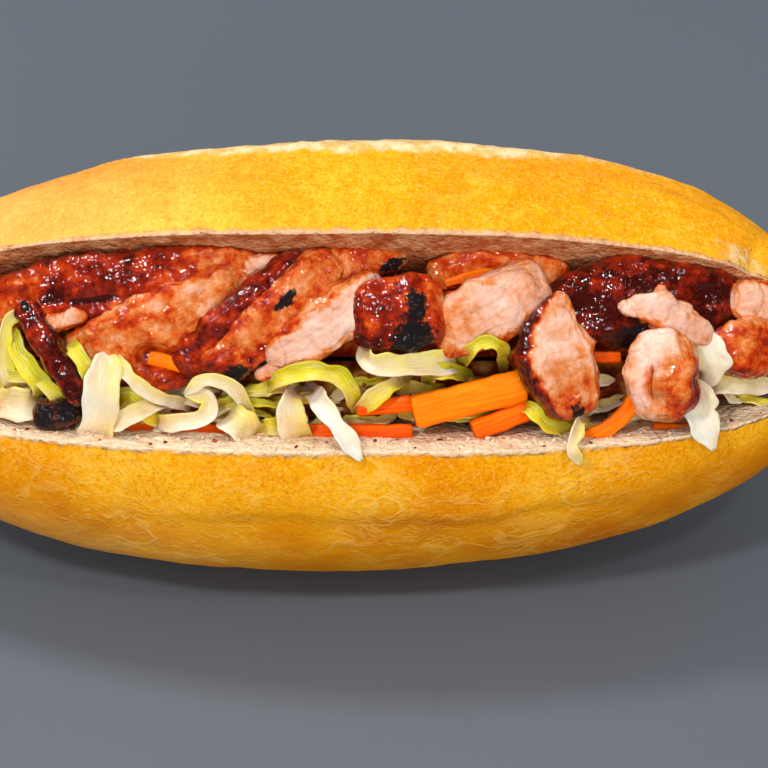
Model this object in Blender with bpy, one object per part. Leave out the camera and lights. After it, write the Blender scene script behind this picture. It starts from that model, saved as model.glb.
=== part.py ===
"""A chicken sandwich: a crusty roll slit along its front and filled with grilled chicken, carrot and lettuce.

The roll lies along X. Shapes are laid out in the opening's own frame: u runs along the roll, v is up
across the opening and w is the depth from the hinge of crumb at the back out to the mouth.
"""

import math

import bmesh
import bpy
from mathutils import Vector, noise

MM = 0.001

# The roll, in millimetres and degrees
LENGTH = 220.0
HALF_DEPTH = 42.0
HALF_HEIGHT = 49.2
SECTION_CENTRE = 32.0
SECTION_POWER = 2.15
END_POWER = 2.1
UPPER_CROWN = 8.0
LOWER_CROWN = -3.0
OPENING_TILT = 38.0
FLAT_SPOT = 2.4

# The opening
UPPER_LIP = 25.4
LOWER_LIP = 20.9
LIP_POWER = 2.8
SLIT_HALF = 105.0
HINGE_DEPTH = 4.0
HINGE_ROUNDING = 0.12

# The baker's slash along the top of the roll
SLASH_MIDDLE = 15.0
SLASH_HALF_LENGTH = 70.0
SLASH_ANGLE = 92.0
SLASH_HALF_ANGLE = 24.0
SLASH_DEPTH = 1.4
SLASH_WALL_POWER = 6
EAR_HEIGHT = 0.9
EAR_PLACE = 1.12
EAR_WIDTH = 0.16

# Unevenness: how far each surface is pushed in or out, then the size of the lumps
CRUST_LUMP = 0.7
CRUMB_LUMP = 0.5
MEAT_LUMP = 0.9
BED_LUMP = 1.4
CRUST_LUMP_SIZE = 18.0
CRUMB_LUMP_SIZE = 5.6
MEAT_LUMP_SIZE = 4.5
BED_LUMP_SIZE = 9.0

# Fineness of the solids: sections along the roll, points round its crust and points over its crumb
ROLL_STATIONS = 46
ROLL_ROUND = 36
ROLL_INSIDE = 8

# The gap left between neighbours, and the angle in degrees under which a cut surface counts as flat
GAP = 0.36
FLAT_ENOUGH = 2.5

HALF = LENGTH / 2
TILT = math.radians(OPENING_TILT)

# Sections of the filling: how square they are, and how many rings and points round each piece gets
MEAT_CORNER = 2.8
MEAT_RINGS = 9
CARROT_CORNER = 5.0
CARROT_BLUNT = 14.0
CARROT_RINGS = 6
SHRED_CORNER = 12.0
SHRED_BLUNT = 5.0
SHRED_RINGS = 7
ROUND_POINTS = 8
FLAT_POINTS = 4

# How much each place along a piece keeps of the way that the place before it faces
STEADINESS = 0.4

# Chicken, front pieces first: the line down each piece's middle as (u, v, w), then its width at the
# start, middle and end, its thickness, its end bluntness and its turn about that line in degrees
CHICKEN = {
    "dark_strip": ([(-68, 11, 66), (-61, -1, 67), (-55, -11, 64)], (6, 6, 5), 7, 4, 0),
    "charred_end": ([(-66, -14, 62), (-56, -13, 62)], (6, 7, 6), 7, 3, 0),
    "small_left": ([(-64, 6, 65), (-54, 8, 65)], (4, 4, 4), 5, 3, 0),
    "folded": ([(69, 5, 68), (70, -5, 70), (70, -14, 66)], (11, 16, 12), 13, 3.5, 10),
    "wedge_slice": ([(47, 13, 62), (46, 1, 64), (51, -14, 63)], (3, 18, 13), 11, 4, -12),
    "charred_chunk": ([(3, 7, 62), (12, 8, 64), (22, 9, 61)], (14, 16, 15), 13, 4, 0),
    "pale_slice": ([(-16, -1, 63), (-3, 6, 65), (9, 16, 61)], (7, 12, 10), 9, 3, 16),
    "thin_slice": ([(-18, -5, 62), (-11, -3, 63), (-4, -3, 62)], (3, 4, 3), 4, 3, 0),
    "pink_cut": ([(20, 4, 60), (32, 9, 62), (44, 16, 59)], (13, 15, 12), 11, 5, 10),
    "slice_d": ([(-29, -6, 60), (-15, 7, 62), (-1, 21, 58)], (10, 12, 10), 11, 4, 12),
    "pulled_top": ([(68, 9, 65), (70, 15, 65)], (8, 4, 3), 5, 2.6, 0),
    "pulled_pink": ([(60, 10, 67), (69, 9, 69), (81, 3, 68)], (3, 8, 8), 6, 2.6, 0),
    "slice_c": ([(-34, -4, 58), (-21, 7, 61), (-7, 20, 57)], (11, 13, 11), 11, 4, 12),
    "slice_a": ([(-58, 0, 58), (-41, 6, 61), (-21, 17, 57)], (12, 14, 11), 12, 4, 12),
    "pink_right": ([(84, 12, 61), (93, 11, 62), (103, 7, 60)], (9, 10, 6), 10, 3.5, 0),
    "crumbly_right": ([(80, 0, 62), (89, 1, 63), (101, 1, 60)], (11, 13, 9), 13, 3, 0),
    "slice_b": ([(-47, -6, 57), (-34, 0, 58), (-17, 12, 56)], (10, 12, 10), 11, 4, 12),
    "maroon_right": ([(44, 9, 56), (64, 11, 58), (87, 12, 56)], (16, 20, 16), 15, 3.5, 0),
    "glazed_left": ([(-77, 10, 56), (-60, 13, 58), (-42, 15, 58), (-17, 19, 55)], (13, 16, 12), 14, 4, 0),
    "left_end": ([(-99, 5, 58), (-86, 8, 60), (-74, 9, 58)], (9, 14, 13), 13, 3, 0),
    "pale_bit": ([(-21, 18, 59), (-12, 20, 58)], (4, 5, 3), 5, 3, 0),
    "skin_top": ([(-11, 12, 55), (1, 19, 56), (15, 22, 54)], (10, 9, 8), 10, 3.5, 0),
    "tan_top": ([(19, 17, 54), (34, 18, 55), (50, 17, 54)], (9, 10, 8), 11, 3.5, 0),
}

# Carrot sticks: the line down the middle, then width and thickness
CARROTS = [
    ([(-41, -1, 61), (-29, -4, 60)], 3.2, 3.0),
    ([(-46, -16, 57), (-24, -17, 57)], 2.6, 3.0),
    ([(4, -12, 59), (16, -11, 60)], 3.6, 3.4),
    ([(-7, -17, 59), (16, -17, 60)], 3.2, 3.2),
    ([(16, -13, 63), (40, -7, 62)], 7.2, 5.0),
    ([(29, -17, 61), (42, -12, 60)], 4.6, 4.0),
    ([(65, -9, 64), (60, -15, 65), (53, -19, 63)], 3.6, 2.6),
    ([(68, -17, 61), (76, -17, 61)], 3.4, 3.0),
    ([(54, -1, 60), (61, -1, 60)], 2.4, 2.6),
    ([(23, 15, 58), (31, 17, 59), (38, 17, 58)], 2.2, 2.2),
    ([(-89, -9, 59), (-75, -11, 59)], 3.2, 3.0),
]

# Lettuce shreds: the line down the middle, then the width at the start, middle and end
SHREDS = {
    "left_hook": ([(-65, 11, 64), (-71, 7, 66), (-72, 1, 66), (-71, -7, 61), (-71, -9, 48)], (2, 3, 4)),
    "left_green": ([(-71, 7, 62), (-69, 0, 66), (-64, -7, 65), (-64, -10, 48)], (2, 5, 4)),
    "left_flat": ([(-75, -6, 48), (-72, -5, 62), (-65, -6, 66), (-60, -10, 62), (-60, -12, 48)], (3, 3, 6)),
    "left_beige": ([(-78, -12, 48), (-72, -11, 62), (-67, -11, 63), (-63, -10, 48)], (4, 7, 5)),
    "yellow_short": ([(-60, 5, 54), (-57, 1, 66), (-53, -5, 66), (-53, -9, 48)], (2, 4, 3)),
    "big_ribbon": ([(-49, 1, 64), (-50, -4, 68), (-51, -11, 68), (-52, -18, 61), (-53, -16, 48)], (3, 9, 12)),
    "ribbon_tail": ([(-52, -15, 62), (-46, -14, 66), (-39, -11, 60), (-38, -10, 48)], (5, 4, 3)),
    "ribbon_arm": ([(-48, 0, 65), (-45, -5, 67), (-40, -9, 65), (-34, -11, 58), (-31, -12, 48)], (3, 3, 3)),
    "yellow_low": ([(-49, -10, 50), (-46, -10, 62), (-40, -13, 60), (-38, -14, 48)], (4, 6, 4)),
    "loop_low": ([(-42, -14, 48), (-37, -15, 62), (-29, -14, 65), (-28, -10, 65), (-33, -9, 64)], (3, 4, 3)),
    "loop_high": ([(-33, -9, 64), (-28, -6, 66), (-22, -8, 65), (-19, -14, 58), (-18, -15, 48)], (3, 3, 3)),
    "cream_mid": ([(-25, -12, 48), (-23, -14, 63), (-19, -17, 61), (-16, -17, 48)], (5, 7, 4)),
    "yellow_mid": ([(-19, -16, 48), (-15, -16, 60), (-11, -15, 56), (-10, -14, 48)], (3, 5, 3)),
    "arch": ([(-18, -9, 48), (-13, -6, 66), (-6, -4, 68), (0, -5, 67), (3, -9, 64), (4, -15, 48)], (3, 4, 3)),
    "white_stick": ([(-8, -7, 50), (-4, -10, 67), (0, -16, 72), (5, -23, 71.5)], (4, 4, 4)),
    "cream_leaf": ([(-8, -7, 50), (-10, -10, 65), (-10, -15, 65), (-8, -19, 58), (-9, -17, 48)], (3, 7, 4)),
    "top_strip": ([(5, 2, 62), (7, -2, 68), (14, -3, 68), (24, -2, 62), (26, -2, 48)], (4, 5, 5)),
    "diagonal": ([(16, -5, 52), (11, -7, 64), (5, -12, 60), (3, -13, 48)], (3, 4, 2)),
    "curl_a": ([(19, -8, 48), (20, -5, 62), (23, -4, 64), (27, -5, 56), (28, -7, 48)], (2, 4, 3)),
    "curl_b": ([(26, -4, 48), (28, 0, 65), (31, 2, 67), (35, 1, 66), (36, -5, 50)], (3, 3, 3)),
    "green_right": ([(38, -11, 48), (41, -12, 64), (45, -15, 64), (50, -17, 58), (51, -16, 48)], (2, 4, 3)),
    "hanging": ([(55, -14, 48), (52, -15, 67), (50, -20, 72), (52, -24, 71)], (2, 3, 3)),
    "petal": ([(75, -11, 48), (77, -10, 67), (78, -14, 71), (81, -21, 70.5)], (6, 9, 4)),
    "fan": ([(76, -5, 48), (79, -4, 66), (79, 1, 69), (75, 7, 67)], (5, 10, 4)),
    "right_strip": ([(78, -8, 48), (83, -7, 63), (93, -7, 61), (101, -7, 50)], (4, 4, 4)),
    "far_left_a": ([(-99, -2, 46), (-92, -3, 60), (-84, -1, 62), (-76, -3, 60), (-75, -6, 48)], (3, 4, 3)),
    "far_left_b": ([(-95, -9, 46), (-88, -12, 59), (-79, -13, 61), (-76, -14, 48)], (3, 5, 3)),
    "far_left_c": ([(-93, 4, 50), (-88, 2, 62), (-87, -7, 62), (-85, -9, 48)], (3, 4, 3)),
}
SHRED_THICK = 1.1

# The two beds of filling behind the pieces that show: how far in they start, where their faces lie and
# the shares of the opening's height that they fill, -1 at its floor and 1 at its roof
BED_HALF_LENGTH = 96.0
BED_SET_IN = 6.0
BED_BULGE = 2.0
BED_STATIONS = 18
BED_STEPS = 4
SALAD_FACE = 55.0
SALAD_SPAN = (-0.92, -0.12)
CHICKEN_FACE = 51.0
CHICKEN_SPAN = (-0.06, 0.92)


def clear_scene():
    for thing in list(bpy.data.objects):
        bpy.data.objects.remove(thing)


def principled(name, colour, roughness):
    made = bpy.data.materials.new(name)
    made.use_nodes = True
    shader = made.node_tree.nodes["Principled BSDF"]
    shader.inputs["Base Color"].default_value = (*colour, 1)
    shader.inputs["Roughness"].default_value = roughness
    shader.inputs["Metallic"].default_value = 0
    return made


def signed_power(value, power):
    return math.copysign(abs(value) ** power, value)


def along_share(u, crown, power, half):
    """How much of the full section is left at u, for a side whose fullest place is off centre by crown."""
    moved = (u - crown * (1 - (u / HALF) ** 2)) / half
    return max(0.0, 1 - abs(moved) ** power) ** (1 / power)


def slash_relief(u, angle):
    """The slash sinks below the crust and its front edge, the ear, stands proud."""
    reach = 1 - ((u - SLASH_MIDDLE) / SLASH_HALF_LENGTH) ** 2
    if reach <= 0:
        return 0.0
    half_angle = SLASH_HALF_ANGLE * math.sqrt(reach)
    place = (angle - SLASH_ANGLE) / half_angle
    floor = -SLASH_DEPTH * max(0.0, 1 - abs(place) ** SLASH_WALL_POWER)
    ear = EAR_HEIGHT * math.exp(-(((place + EAR_PLACE) / EAR_WIDTH) ** 2))
    return (floor + ear) * math.sqrt(reach)


def crust_point(u, angle):
    """A point of the crust, as (w, v), at an angle round the section counted from the mouth."""
    upper = along_share(u, UPPER_CROWN, END_POWER, HALF)
    lower = along_share(u, LOWER_CROWN, END_POWER, HALF)
    share = lower + (upper - lower) * (1 + math.sin(angle)) / 2
    across = signed_power(math.cos(angle), 2 / SECTION_POWER)
    up = signed_power(math.sin(angle), 2 / SECTION_POWER)
    w = SECTION_CENTRE + HALF_DEPTH * share * across
    v = HALF_HEIGHT * share * up
    lump = CRUST_LUMP * share * noise.noise(Vector((u, v, w)) / CRUST_LUMP_SIZE)
    push = lump + slash_relief(u, math.degrees(angle)) * share
    return w + push * math.cos(angle), v + push * math.sin(angle)


def lip_angle(u, lip, crown):
    """The angle at which the crust is cut by a lip that stands this far above the opening's middle."""
    gape = along_share(u, 0, LIP_POWER, SLIT_HALF)
    share = along_share(u, crown, END_POWER, HALF)
    if gape <= 0:
        return 0.0
    return math.asin(min(1.0, lip * gape / (HALF_HEIGHT * share)) ** (SECTION_POWER / 2))


def hinge_depth(u, mouth):
    reach = along_share(u, 0, LIP_POWER, SLIT_HALF)
    return mouth - (mouth - HINGE_DEPTH) * reach


def crumb_point(u, side, upper, lower):
    """A point of the crumb inside, side running from -1 at the lower lip through the hinge to 1."""
    lip = upper if side > 0 else lower
    hinge = hinge_depth(u, (upper[0] + lower[0]) / 2)
    bow = math.sqrt(side * side + HINGE_ROUNDING**2) - HINGE_ROUNDING
    bow /= math.sqrt(1 + HINGE_ROUNDING**2) - HINGE_ROUNDING
    w = hinge + (lip[0] - hinge) * bow
    v = lip[1] * abs(side)
    reach = along_share(u, 0, LIP_POWER, SLIT_HALF)
    lump = CRUMB_LUMP * reach * noise.noise(Vector((u, v, w)) / CRUMB_LUMP_SIZE)
    return w, v + lump * (1 - side * side) * math.copysign(1, side)


def roll_section(u, around, inside):
    """The closed outline of the slit roll at u, as a list of (w, v)."""
    first = lip_angle(u, UPPER_LIP, UPPER_CROWN)
    last = 2 * math.pi - lip_angle(u, LOWER_LIP, LOWER_CROWN)
    angles = [first + (last - first) * i / around for i in range(around + 1)]
    outline = [crust_point(u, angle) for angle in angles]
    upper = outline[0]
    lower = outline[-1]
    for i in range(1, inside):
        outline.append(crumb_point(u, 2 * i / inside - 1, upper, lower))
    return outline


def world_point(u, v, w):
    """From the opening's frame to the world, both in millimetres, before the roll is set on the ground."""
    y = -w * math.cos(TILT) + v * math.sin(TILT)
    z = w * math.sin(TILT) + v * math.cos(TILT)
    return Vector((u, y, z))


def ground_height():
    """The height of the flat spot that the roll rests on."""
    section = roll_section(0, ROLL_ROUND * 4, ROLL_INSIDE)
    return min(world_point(0, v, w).z for w, v in section) + FLAT_SPOT


def origin_shift():
    """Brings the middle of the roll's section over the origin and the flat spot down to zero."""
    middle = world_point(0, 0, SECTION_CENTRE)
    return Vector((0, -middle.y, -ground_height()))


def placed(point, shift):
    """A point in the opening's frame, in millimetres, as a point in the world, in metres."""
    moved = world_point(*point) + shift
    moved.z = max(moved.z, 0.0)
    return moved * MM


def rings_to_mesh(bm, rings):
    """Skins a row of closed rings and closes both ends, then joins the corners that fall together."""
    for near, far in zip(rings, rings[1:]):
        for i in range(len(near)):
            j = (i + 1) % len(near)
            bm.faces.new((near[i], near[j], far[j], far[i]))
    bm.faces.new(list(reversed(rings[0])))
    bm.faces.new(rings[-1])
    bmesh.ops.remove_doubles(bm, verts=bm.verts, dist=1e-7)
    bmesh.ops.dissolve_degenerate(bm, edges=bm.edges, dist=1e-8)
    bmesh.ops.triangulate(bm, faces=bm.faces)
    bmesh.ops.recalc_face_normals(bm, faces=bm.faces)


def new_object(name, bm, material, collection):
    mesh = bpy.data.meshes.new(name)
    bm.to_mesh(mesh)
    bm.free()
    mesh.materials.append(material)
    mesh.shade_smooth()
    made = bpy.data.objects.new(name, mesh)
    collection.objects.link(made)
    return made


def make_roll(material, collection, shift):
    """The whole roll: crust, crumb and hinge in one solid, flat where it rests."""
    bm = bmesh.new()
    rings = []
    for i in range(1, ROLL_STATIONS):
        u = HALF * math.sin(math.pi * (i / ROLL_STATIONS - 0.5))
        outline = roll_section(u, ROLL_ROUND, ROLL_INSIDE)
        rings.append([bm.verts.new(placed((u, v, w), shift)) for w, v in outline])
    rings_to_mesh(bm, rings)
    return new_object("bread_roll", bm, material, collection)


def smooth_path(points, count):
    """Evenly spaced places on a smooth curve through the points."""
    points = [Vector(point) for point in points]
    if len(points) == 2:
        points.insert(1, (points[0] + points[1]) / 2)
    padded = [2 * points[0] - points[1], *points, 2 * points[-1] - points[-2]]
    spans = len(points) - 1
    path = []
    for i in range(count + 1):
        place = spans * i / count
        k = min(int(place), spans - 1)
        t = place - k
        a, b, c, d = padded[k : k + 4]
        path.append(
            (2 * b + (c - a) * t + (2 * a - 5 * b + 4 * c - d) * t**2 + (3 * b - a - 3 * c + d) * t**3) / 2
        )
    return path


def mixed(values, t):
    """The value at t along three values given at the start, middle and end."""
    first, middle, last = values
    if t < 0.5:
        return first + (middle - first) * 2 * t
    return middle + (last - middle) * (2 * t - 1)


def frames_along(path):
    """At each place of the path its direction and the two directions across it."""
    toward_viewer = Vector((0, 0, 1))
    frames = []
    across = None
    for i, place in enumerate(path):
        ahead = (path[min(i + 1, len(path) - 1)] - path[max(i - 1, 0)]).normalized()
        side = toward_viewer.cross(ahead)
        if across is not None:
            side += STEADINESS * (across - across.dot(ahead) * ahead)
        across = side.normalized()
        frames.append((place, across, ahead.cross(across)))
    return frames


def set_back(point):
    """Depths are listed as at the middle of the roll, and near its ends they shrink with its section."""
    share = along_share(point.x, 0, END_POWER, HALF)
    return Vector((point.x, point.y, SECTION_CENTRE + (point.z - SECTION_CENTRE) * share))


def strip_rings(bm, points, widths, thick, corner, blunt, shift, count, sides, turn=0.0, lump=0.0):
    """Rings of a piece that follows a line: its section is a rounded box that closes at both ends."""
    path = [set_back(place) for place in smooth_path(points, 2 * count)]
    frames = frames_along(path)
    angle = math.radians(turn)
    rings = []
    for i in range(1, count):
        t = (1 - math.cos(math.pi * i / count)) / 2
        exact = t * 2 * count
        k = min(int(exact), 2 * count - 1)
        centre = path[k].lerp(path[k + 1], exact - k)
        across = frames[k][1] * math.cos(angle) + frames[k][2] * math.sin(angle)
        out = frames[k][2] * math.cos(angle) - frames[k][1] * math.sin(angle)
        closing = (1 - abs(2 * t - 1) ** blunt) ** (1 / blunt)
        ring = []
        for j in range(sides):
            turned = 2 * math.pi * (j + 0.5) / sides
            a = signed_power(math.cos(turned), 2 / corner) * mixed(widths, t) / 2
            b = signed_power(math.sin(turned), 2 / corner) * thick / 2
            point = centre + (across * a + out * b) * closing
            bump = lump * closing * noise.noise(point / MEAT_LUMP_SIZE)
            point += (across * a + out * b).normalized() * bump
            ring.append(bm.verts.new(placed((point.x, point.y, point.z), shift)))
        rings.append(ring)
    return rings


def make_chicken(name, material, collection, shift):
    points, widths, thick, blunt, turn = CHICKEN[name]
    bm = bmesh.new()
    fineness = (MEAT_RINGS, ROUND_POINTS)
    rings = strip_rings(bm, points, widths, thick, MEAT_CORNER, blunt, shift, *fineness, turn, MEAT_LUMP)
    rings_to_mesh(bm, rings)
    return new_object("chicken_" + name, bm, material, collection)


def make_carrot(number, material, collection, shift):
    points, width, thick = CARROTS[number]
    bm = bmesh.new()
    widths = (width, width, width)
    fineness = (CARROT_RINGS, ROUND_POINTS)
    rings = strip_rings(bm, points, widths, thick, CARROT_CORNER, CARROT_BLUNT, shift, *fineness)
    rings_to_mesh(bm, rings)
    return new_object(f"carrot_{number + 1:02d}", bm, material, collection)


def make_shred(name, material, collection, shift):
    points, widths = SHREDS[name]
    bm = bmesh.new()
    fineness = (SHRED_RINGS, FLAT_POINTS)
    rings = strip_rings(bm, points, widths, SHRED_THICK, SHRED_CORNER, SHRED_BLUNT, shift, *fineness)
    rings_to_mesh(bm, rings)
    return new_object("shred_" + name, bm, material, collection)


def inside_line(u, w, lip, crown):
    """How far the crumb stands above or below the opening's middle at this depth."""
    angle = lip_angle(u, lip, crown)
    mouth = crust_point(u, angle)[0]
    hinge = hinge_depth(u, mouth)
    return lip * along_share(u, 0, LIP_POWER, SLIT_HALF) * max(0.0, w - hinge) / (mouth - hinge)


def share_to_height(u, w, share):
    if share < 0:
        return share * inside_line(u, w, LOWER_LIP, LOWER_CROWN)
    return share * inside_line(u, w, UPPER_LIP, UPPER_CROWN)


def bed_section(u, span, back, front):
    """A wedge of filling between two shares of the opening's height, its face bulging forward."""
    lowest, highest = span
    depths = [back + (front - back) * i / BED_STEPS for i in range(BED_STEPS + 1)]
    middle = (share_to_height(u, front, lowest) + share_to_height(u, front, highest)) / 2
    outline = [(w, share_to_height(u, w, lowest)) for w in depths]
    outline.append((front + BED_BULGE, middle))
    outline += [(w, share_to_height(u, w, highest)) for w in reversed(depths)]
    return outline


def make_bed(name, span, front, material, collection, shift):
    """The filling behind the pieces that show, from near the hinge to just behind them."""
    bm = bmesh.new()
    rings = []
    for i in range(BED_STATIONS + 1):
        u = BED_HALF_LENGTH * math.sin(math.pi * (i / BED_STATIONS - 0.5))
        share = along_share(u, 0, END_POWER, HALF)
        back = hinge_depth(u, SECTION_CENTRE + HALF_DEPTH * share) + BED_SET_IN
        face = SECTION_CENTRE + (front - SECTION_CENTRE) * share
        lump = BED_LUMP * noise.noise(Vector((u, front, face)) / BED_LUMP_SIZE)
        outline = bed_section(u, span, back, face + lump)
        rings.append([bm.verts.new(placed((u, v, w), shift)) for w, v in outline])
    rings_to_mesh(bm, rings)
    return new_object(name, bm, material, collection)


def swollen(thing):
    """A helper copy of a piece with its skin moved out by the gap, used to cut room for it."""
    bm = bmesh.new()
    bm.from_mesh(thing.data)
    bm.normal_update()
    moves = [vert.normal * GAP * MM for vert in bm.verts]
    for vert, move in zip(bm.verts, moves):
        vert.co += move
    mesh = bpy.data.meshes.new(thing.name + "_room")
    bm.to_mesh(mesh)
    bm.free()
    return bpy.data.objects.new(thing.name + "_room", mesh)


def boxes_meet(first, second):
    for axis in range(3):
        ours = [vert.co[axis] for vert in first.data.vertices]
        theirs = [vert.co[axis] for vert in second.data.vertices]
        if min(ours) > max(theirs) or min(theirs) > max(ours):
            return False
    return True


def keep_largest(bm):
    """Leaves only the biggest shell, counting faces as joined where just two meet at an edge."""
    unseen = set(bm.faces)
    shells = []
    while unseen:
        stack = [unseen.pop()]
        shell = set(stack)
        while stack:
            for edge in stack.pop().edges:
                if len(edge.link_faces) != 2:
                    continue
                for face in edge.link_faces:
                    if face in unseen:
                        unseen.discard(face)
                        shell.add(face)
                        stack.append(face)
        shells.append(shell)
    largest = max(shells, key=len)
    loose = [face for face in bm.faces if face not in largest]
    bmesh.ops.delete(bm, geom=loose, context="FACES")


def apply_boolean(thing, operation, helpers):
    """Joins or cuts with a collection of helpers and bakes the result."""
    group = bpy.data.collections.new("cutters")
    bpy.context.scene.collection.children.link(group)
    for helper in helpers:
        group.objects.link(helper)
        helper.hide_render = True
        helper.display_type = "WIRE"
    modifier = thing.modifiers.new(operation.lower(), "BOOLEAN")
    modifier.operation = operation
    modifier.operand_type = "COLLECTION"
    modifier.collection = group
    modifier.solver = "MANIFOLD"
    graph = bpy.context.evaluated_depsgraph_get()
    mesh = bpy.data.meshes.new_from_object(thing.evaluated_get(graph))
    thing.modifiers.remove(modifier)
    bpy.data.collections.remove(group)
    bm = bmesh.new()
    bm.from_mesh(mesh)
    keep_largest(bm)
    bmesh.ops.dissolve_limit(bm, angle_limit=math.radians(FLAT_ENOUGH), verts=bm.verts, edges=bm.edges)
    bmesh.ops.triangulate(bm, faces=bm.faces)
    bm.to_mesh(thing.data)
    bm.free()
    thing.data.update()
    bpy.data.meshes.remove(mesh)


def make_room(thing, rooms):
    """Cuts a piece back to a small gap from each neighbour made before it."""
    near = [room for room in rooms if boxes_meet(thing, room)]
    if near:
        apply_boolean(thing, "DIFFERENCE", near)


def make_salad(material, collection, shift):
    """The lettuce: a bed along the floor of the opening with the shreds that show fused to it."""
    bed = make_bed("lettuce_salad", SALAD_SPAN, SALAD_FACE, material, collection, shift)
    shreds = [make_shred(name, material, collection, shift) for name in SHREDS]
    rooms = [swollen(piece) for piece in (bed, *shreds)]
    for shred in shreds:
        collection.objects.unlink(shred)
    apply_boolean(bed, "UNION", shreds)
    for shred in shreds:
        bpy.data.objects.remove(shred)
    return bed, rooms


def build():
    clear_scene()
    collection = bpy.data.collections.new("chicken_sandwich")
    bpy.context.scene.collection.children.link(collection)
    bread = principled("bread", (0.80, 0.42, 0.07), 0.6)
    meat = principled("grilled_chicken", (0.42, 0.10, 0.04), 0.35)
    carrot = principled("carrot", (0.95, 0.21, 0.01), 0.4)
    lettuce = principled("lettuce", (0.85, 0.72, 0.36), 0.45)
    shift = origin_shift()
    rooms = [swollen(make_roll(bread, collection, shift))]
    pieces = [(make_carrot, number, carrot) for number in range(len(CARROTS))]
    pieces += [(make_chicken, name, meat) for name in CHICKEN]
    for make, which, material in pieces:
        piece = make(which, material, collection, shift)
        own_room = swollen(piece)
        make_room(piece, rooms)
        rooms.append(own_room)
    salad, salad_rooms = make_salad(lettuce, collection, shift)
    make_room(salad, rooms)
    rooms += salad_rooms
    bed = make_bed("chicken_bed", CHICKEN_SPAN, CHICKEN_FACE, meat, collection, shift)
    make_room(bed, rooms)
    for room in rooms:
        bpy.data.objects.remove(room)


build()
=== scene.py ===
import math
import random

import bmesh
import bpy
import numpy as np
from mathutils import Matrix, Vector, noise


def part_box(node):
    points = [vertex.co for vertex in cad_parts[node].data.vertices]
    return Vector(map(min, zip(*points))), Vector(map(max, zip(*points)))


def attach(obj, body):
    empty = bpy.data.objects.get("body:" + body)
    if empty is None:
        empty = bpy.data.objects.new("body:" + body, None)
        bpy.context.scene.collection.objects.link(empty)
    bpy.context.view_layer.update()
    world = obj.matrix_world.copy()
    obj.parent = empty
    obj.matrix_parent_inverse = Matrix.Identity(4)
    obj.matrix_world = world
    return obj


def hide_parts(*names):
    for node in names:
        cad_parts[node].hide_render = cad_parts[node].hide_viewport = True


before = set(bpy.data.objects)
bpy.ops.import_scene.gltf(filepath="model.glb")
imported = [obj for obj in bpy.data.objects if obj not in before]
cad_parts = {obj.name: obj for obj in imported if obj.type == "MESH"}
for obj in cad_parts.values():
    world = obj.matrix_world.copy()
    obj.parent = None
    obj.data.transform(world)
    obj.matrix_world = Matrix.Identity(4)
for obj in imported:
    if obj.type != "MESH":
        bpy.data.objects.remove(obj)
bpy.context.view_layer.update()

MM = 0.001

# The roll, the same sizes as in the solids, in millimetres and degrees
HALF = 110.0
HALF_DEPTH = 42.0
HALF_HEIGHT = 49.2
SECTION_CENTRE = 32.0
SECTION_POWER = 2.15
END_POWER = 2.1
UPPER_CROWN = 8.0
LOWER_CROWN = -3.0
TILT = math.radians(38.0)
UPPER_LIP = 25.4
LOWER_LIP = 20.9
LIP_POWER = 2.8
SLIT_HALF = 105.0
HINGE_DEPTH = 4.0
HINGE_ROUNDING = 0.12
SLASH_MIDDLE = 15.0
SLASH_HALF_LENGTH = 70.0
SLASH_ANGLE = 92.0
SLASH_HALF_ANGLE = 24.0
SLASH_DEPTH = 1.4
SLASH_WALL_POWER = 6
EAR_HEIGHT = 0.9
EAR_PLACE = 1.12
EAR_WIDTH = 0.16
CRUST_LUMP = 0.7
CRUMB_LUMP = 0.5
CRUST_LUMP_SIZE = 18.0
CRUMB_LUMP_SIZE = 5.6
INSET = 0.25
# Where there is no slash, a point counts as this far across it
FAR_FROM_SLASH = 9.0
SLASH_WANDER = 0.12
# Torn holes in the crumb: height, size and octaves
CRUMB_PORES = [(0.5, 1.7, 3)]
# How much of its last direction across a path keeps, so that its frame turns evenly
FRAME_STEADY = 0.4

# Camera: its distance, the middle of the picture on the roll and the width it takes in
CAMERA_FAR = 800.0
VIEW_CENTRE = (9.8, -6.8)
VIEW_WIDTH = 171.6
SENSOR = 36.0

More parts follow.
